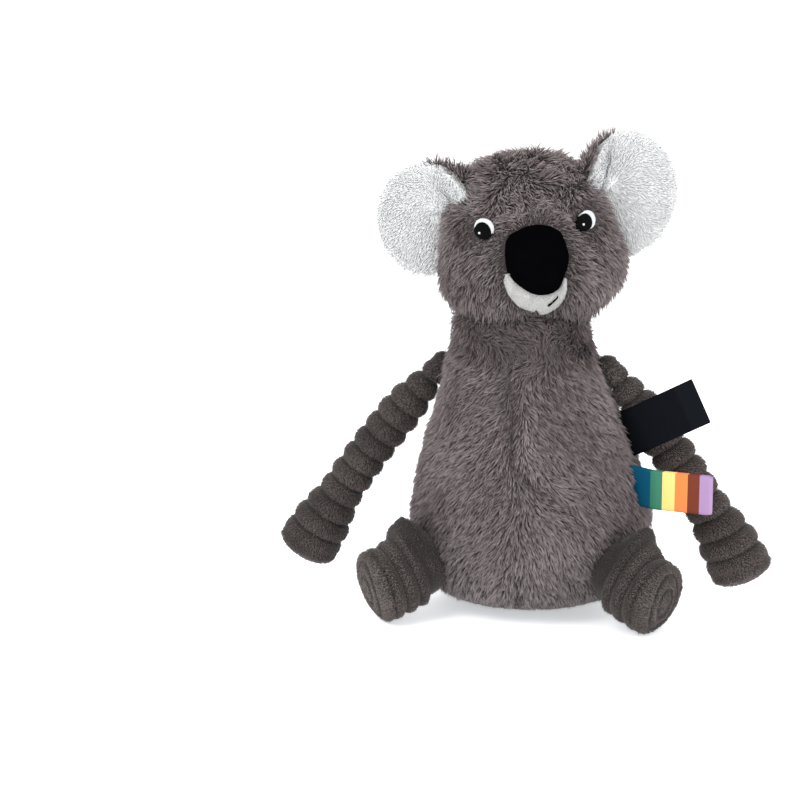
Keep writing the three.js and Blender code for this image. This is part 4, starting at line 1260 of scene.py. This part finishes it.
def lay_threads(name, lines, thickness, finish, nodes, sides=6):
    """Turns lists of points into threads of that thickness, as one plain mesh."""
    edges, start = [], 0
    for line in lines:
        edges += [(start + i, start + i + 1) for i in range(len(line) - 1)]
        start += len(line)
    mesh = bpy.data.meshes.new(name)
    mesh.from_pydata(np.concatenate(lines).tolist(), edges, [])
    keep_field(mesh, "width", np.broadcast_to(thickness, start) / 2)
    piece = placed(name, mesh)
    facing_out(made_plain(piece, threads, {"Sides": sides, "Finish": finish}))
    finished(piece, finish, "head", nodes)


# %% [markdown]
# An eye is two stitched discs, black over white, so that the white shows as a crescent, and a
# small white glint. Each disc is stitched over a firm pad, which raises it. A bump would not
# hold up close, and the threads are few enough to be real.


# %% Stitched discs
def satin_disc(name, x, z, radius, slant, lift, dome, finish, nodes, pitch=0.42 * mm):
    """The threads of a round satin-stitched patch on the face."""
    lines = []
    for offset in np.arange(-radius + pitch / 2, radius, pitch):
        half = math.sqrt(max(radius ** 2 - offset ** 2, 0))
        along = np.linspace(-half, half, 9)
        right, over = rotated(along, offset, slant)
        share = np.hypot(along, offset) / radius
        height = lift + dome * np.sqrt(np.maximum(1 - share ** 2, 0))
        height[[0, -1]] -= 0.5 * mm
        lines.append(pose_head(face_point(x + right, z + over, height)))
    lay_threads(name, lines, pitch * 1.15, finish, nodes)


def stitched_pad(name, x, z, radius, slant, lift, dome, pad_lift, finish, nodes):
    """A satin-stitched disc and the firm felt disc that its stitches cover."""
    def rim(angle):
        return x + radius * 0.97 * np.cos(angle), z + radius * 0.97 * np.sin(angle)

    satin_disc(f"{name}_stitches", x, z, radius, slant, lift, dome, finish, nodes)
    mesh = face_pad(f"{name}_pad", rim, (x, z), dome_rows(-3.0 * mm, pad_lift, 5), 36)
    finished(placed(f"{name}_pad", mesh), finish, "head", nodes)


eyes = {  # side, then in mm its own shift aside and up, and that of its white disc
    "left": (1, 1.2, 0, 2.1, 1.3),
    "right": (-1, 0, 0.7, 0.6, 1.9),
}
for word, (side, *shifts) in eyes.items():
    shift_x, shift_z, aside, above = (shift * mm for shift in shifts)
    x, z = side * eye_apart / 2 + shift_x, eye_height + shift_z
    black = [f"{word}_eye_black"]
    stitched_pad(f"{word}_eye_white", x + aside, z + above, eye_white_radius, 0.5, 0.7 * mm,
                 0.5 * mm, 0.6 * mm, white_thread, [f"{word}_eye_white"])
    stitched_pad(f"{word}_eye_black", x, z, eye_radius, 0.1, 1.0 * mm, 0.9 * mm, 1.1 * mm,
                 black_thread, black)
    satin_disc(f"{word}_eye_glint", x - 1.9 * mm, z - 1.2 * mm, 0.7 * mm, 0.1, 1.9 * mm, 0.2 * mm,
               white_thread, black, 0.4 * mm)

# %% [markdown]
# The mouth is one short stitch of thick black thread on the toy's left half of the lip. It is
# thinner towards its upper end, and both ends dip into the felt. A drawn line would lie flat.

# %% Mouth
share = np.linspace(0, 1, 14)
mouth_x = (3.2 + 6.3 * share) * mm
mouth_z = nose_middle - nose_tall / 2 - (5.0 - 4.2 * share ** 1.2) * mm
mouth_lift = np.full(14, lip_puff + 1.4 * mm)
mouth_lift[[0, -1]] -= 0.8 * mm
mouth = pose_head(face_point(mouth_x, mouth_z, mouth_lift))
mouth_thickness = 1.7 * mm * (1 - 0.55 * share) + 0.1 * mm
lay_threads("mouth_stitch_thread", [mouth], mouth_thickness, black_thread, ["mouth_stitch"], 8)

# %% [markdown]
# The label and the ribbon tab are woven strips, sewn into the left side seam by one end. Flat
# boxes would look like plastic, so each strip has a slow wave, a bend at its sewn end and thin
# edges. The ribbon is one strip folded double, a narrow loop. A cloth simulation isn't needed
# for two stiff strips as short as these.

# %% Strips in the side seam
lanes = 17


def strip_skin(name, path, width_way, wide, thick, doubled=False):
    """A closed strip from its middle line and its widths. A doubled one's map runs back from
    halfway, so its stripes turn at the tip.
    """
    tangent = unit(np.gradient(path, axis=0))
    across = along_skin(np.repeat(width_way[None], len(path), 0), tangent)
    rise = np.cross(tangent, across)
    lane = np.concatenate([np.linspace(-1, 1, lanes), np.linspace(1, -1, lanes)])
    level = np.concatenate([np.ones(lanes), -np.ones(lanes)])
    level[[0, lanes - 1, lanes, -1]] *= 0.4
    aside = lane * wide[:, None] / 2
    rings = path[:, None] + across[:, None] * aside[..., None]
    rings = rings + rise[:, None] * (level * thick / 2)[None, :, None]
    mesh = skin_of(name, rings, path[0], path[-1])
    run = np.concatenate([[0], np.cumsum(np.linalg.norm(np.diff(path, axis=0), axis=1))])
    if doubled:
        run = run[-1] / 2 - np.abs(run - run[-1] / 2)
    u = np.append(np.repeat(run, 2 * lanes), [run[0], run[-1]])
    v = np.append(aside.ravel(), [0, 0])
    put_map(mesh, "cloth", np.stack([u / mm / 100, v / mm / 100 + 0.5], -1))
    return mesh


def sewn_root(height):
    """A place on the body's outline in the side seam, which runs forward low down."""
    seam = 51 + 39 * np.clip((height - 36 * mm) / (122 * mm), 0, 1)
    radii, heights = body_outline(np.linspace(1, 2, 300))
    return heading(np.array(float(seam))) * np.interp(height, heights, radii) + up * height


# %% [markdown]
# Woven ribbon has its stripes across it and fine ribs both ways. The map holds the place along
# and across the strip, so the stripes follow its bends, and the ribs are sines that tint the
# colour slightly and press the surface. A picture would blur up close.

# %% Woven finish
long_rib, cross_rib, edge_sharpness = 0.55, 0.4, 6.0


def woven(name, colours, rough, specular):
    """A woven strip's finish: stripes across it, fine ribs and a slight unevenness."""
    made, graph, inputs, place = cloth_start(name, rough, specular)
    run = graph.add("ShaderNodeSeparateXYZ", [graph.add("ShaderNodeUVMap", uv_map="cloth")])
    along, across = run * 100, graph.other(run, 1) * 100
    colour = graph.add("ShaderNodeRGB")
    colour.socket.default_value = colours[0][1]
    for edge, shade in colours[1:]:
        colour = graph.blend(((along - edge) * edge_sharpness + 0.5).clamped(), colour, shade)
    ribs = (along * (2 * math.pi / long_rib)).sine() * 0.5
    ribs = ribs + (across * (2 * math.pi / cross_rib)).sine() * 0.25
    worn = grain(graph, place, 0.25) * 0.08 + ribs * 0.03
    colour = graph.blend(worn.clamped(), colour, (0.02, 0.02, 0.025, 1))
    graph.link(colour, inputs["Base Color"])
    graph.link(pressed(graph, ribs, 0.35, 0.06 * mm), inputs["Normal"])
    return made


label_satin = woven("black label satin", [
    (0, (0.0035, 0.0042, 0.006, 1)), (50, (0.005, 0.006, 0.008, 1)),
], 0.8, 0.02)
ribbon_satin = woven("striped ribbon satin", [
    (0, linear(0, 76, 104)), (18.6, linear(54, 116, 92)), (27.0, linear(232, 200, 120)),
    (35.3, linear(238, 124, 66)), (43.6, linear(106, 47, 30)), (51.4, linear(155, 126, 164)),
], 0.65, 0.15)

# %% [markdown]
# The label is one broad strip that slants up and out from the seam with a slow wave, and it
# bends a little where it leaves the seam. It could be a single face with thickness added, but
# the rings give it its rounded edges too.

# %% Label
label_wide, label_long, label_hidden, tilt = 30 * mm, 61, 3, math.radians(28)
out = heading(np.array(64.0))
label_root = sewn_root(121 * mm) + np.array([2.8, 0, -3.6]) * mm
label_way = out * math.cos(tilt) + up * math.sin(tilt)
label_across = -out * math.sin(tilt) + up * math.cos(tilt)
share = np.linspace(0, 1, 60)
wave = np.cross(label_way, label_across) * (1.3 * mm * np.sin(share * 4.2))[:, None]
run = (share * label_long - label_hidden) * mm
path = label_root + label_way * run[:, None] + wave
path[:, 1] += 4 * mm * smooth(0.25, 0, share)
mesh = strip_skin("label", path, label_across, np.full(60, label_wide), 0.9 * mm)
label = finished(placed("bare_woven_label", mesh), label_satin, "torso", ["woven_label"])

# %% [markdown]
# The ribbon tab runs out of the seam, round a tight bend and back beside itself. The wave is
# the same for both halves, so they stay side by side. Two separate strips would look the same
# from the side, but the real tab has its stripes folded over at the tip.

# %% Ribbon tab
bend_radius, reach_out, hidden = 1.5 * mm, 51 * mm, 3 * mm
ribbon_root = sewn_root(85.5 * mm) + np.array([2.2, 1.5, 0.6]) * mm
ribbon_way = heading(np.array(70.0))
go = np.linspace(-hidden, reach_out, 50)
turn = np.linspace(-math.pi / 2, math.pi / 2, 13)[1:-1]
run = np.concatenate([go, reach_out + bend_radius * np.cos(turn), go[::-1]])
side = np.full(50, bend_radius)
off = np.concatenate([-side, bend_radius * np.sin(turn), side])
wave = 0.9 * mm * np.sin(run / (60 * mm) * 5 + 0.6)
path = ribbon_root + ribbon_way * run[:, None] + np.cross(ribbon_way, up) * (off + wave)[:, None]
path[:, 1] += 7 * mm * smooth(17 * mm, -2 * mm, run)
wide = 25 * mm * (1 - 0.05 * smooth(reach_out - 1 * mm, reach_out + bend_radius, run))
mesh = strip_skin("ribbon", path, up, wide, 0.6 * mm, True)
ribbon = finished(placed("striped_ribbon_tab", mesh), ribbon_satin, "torso", ["ribbon_tab"])
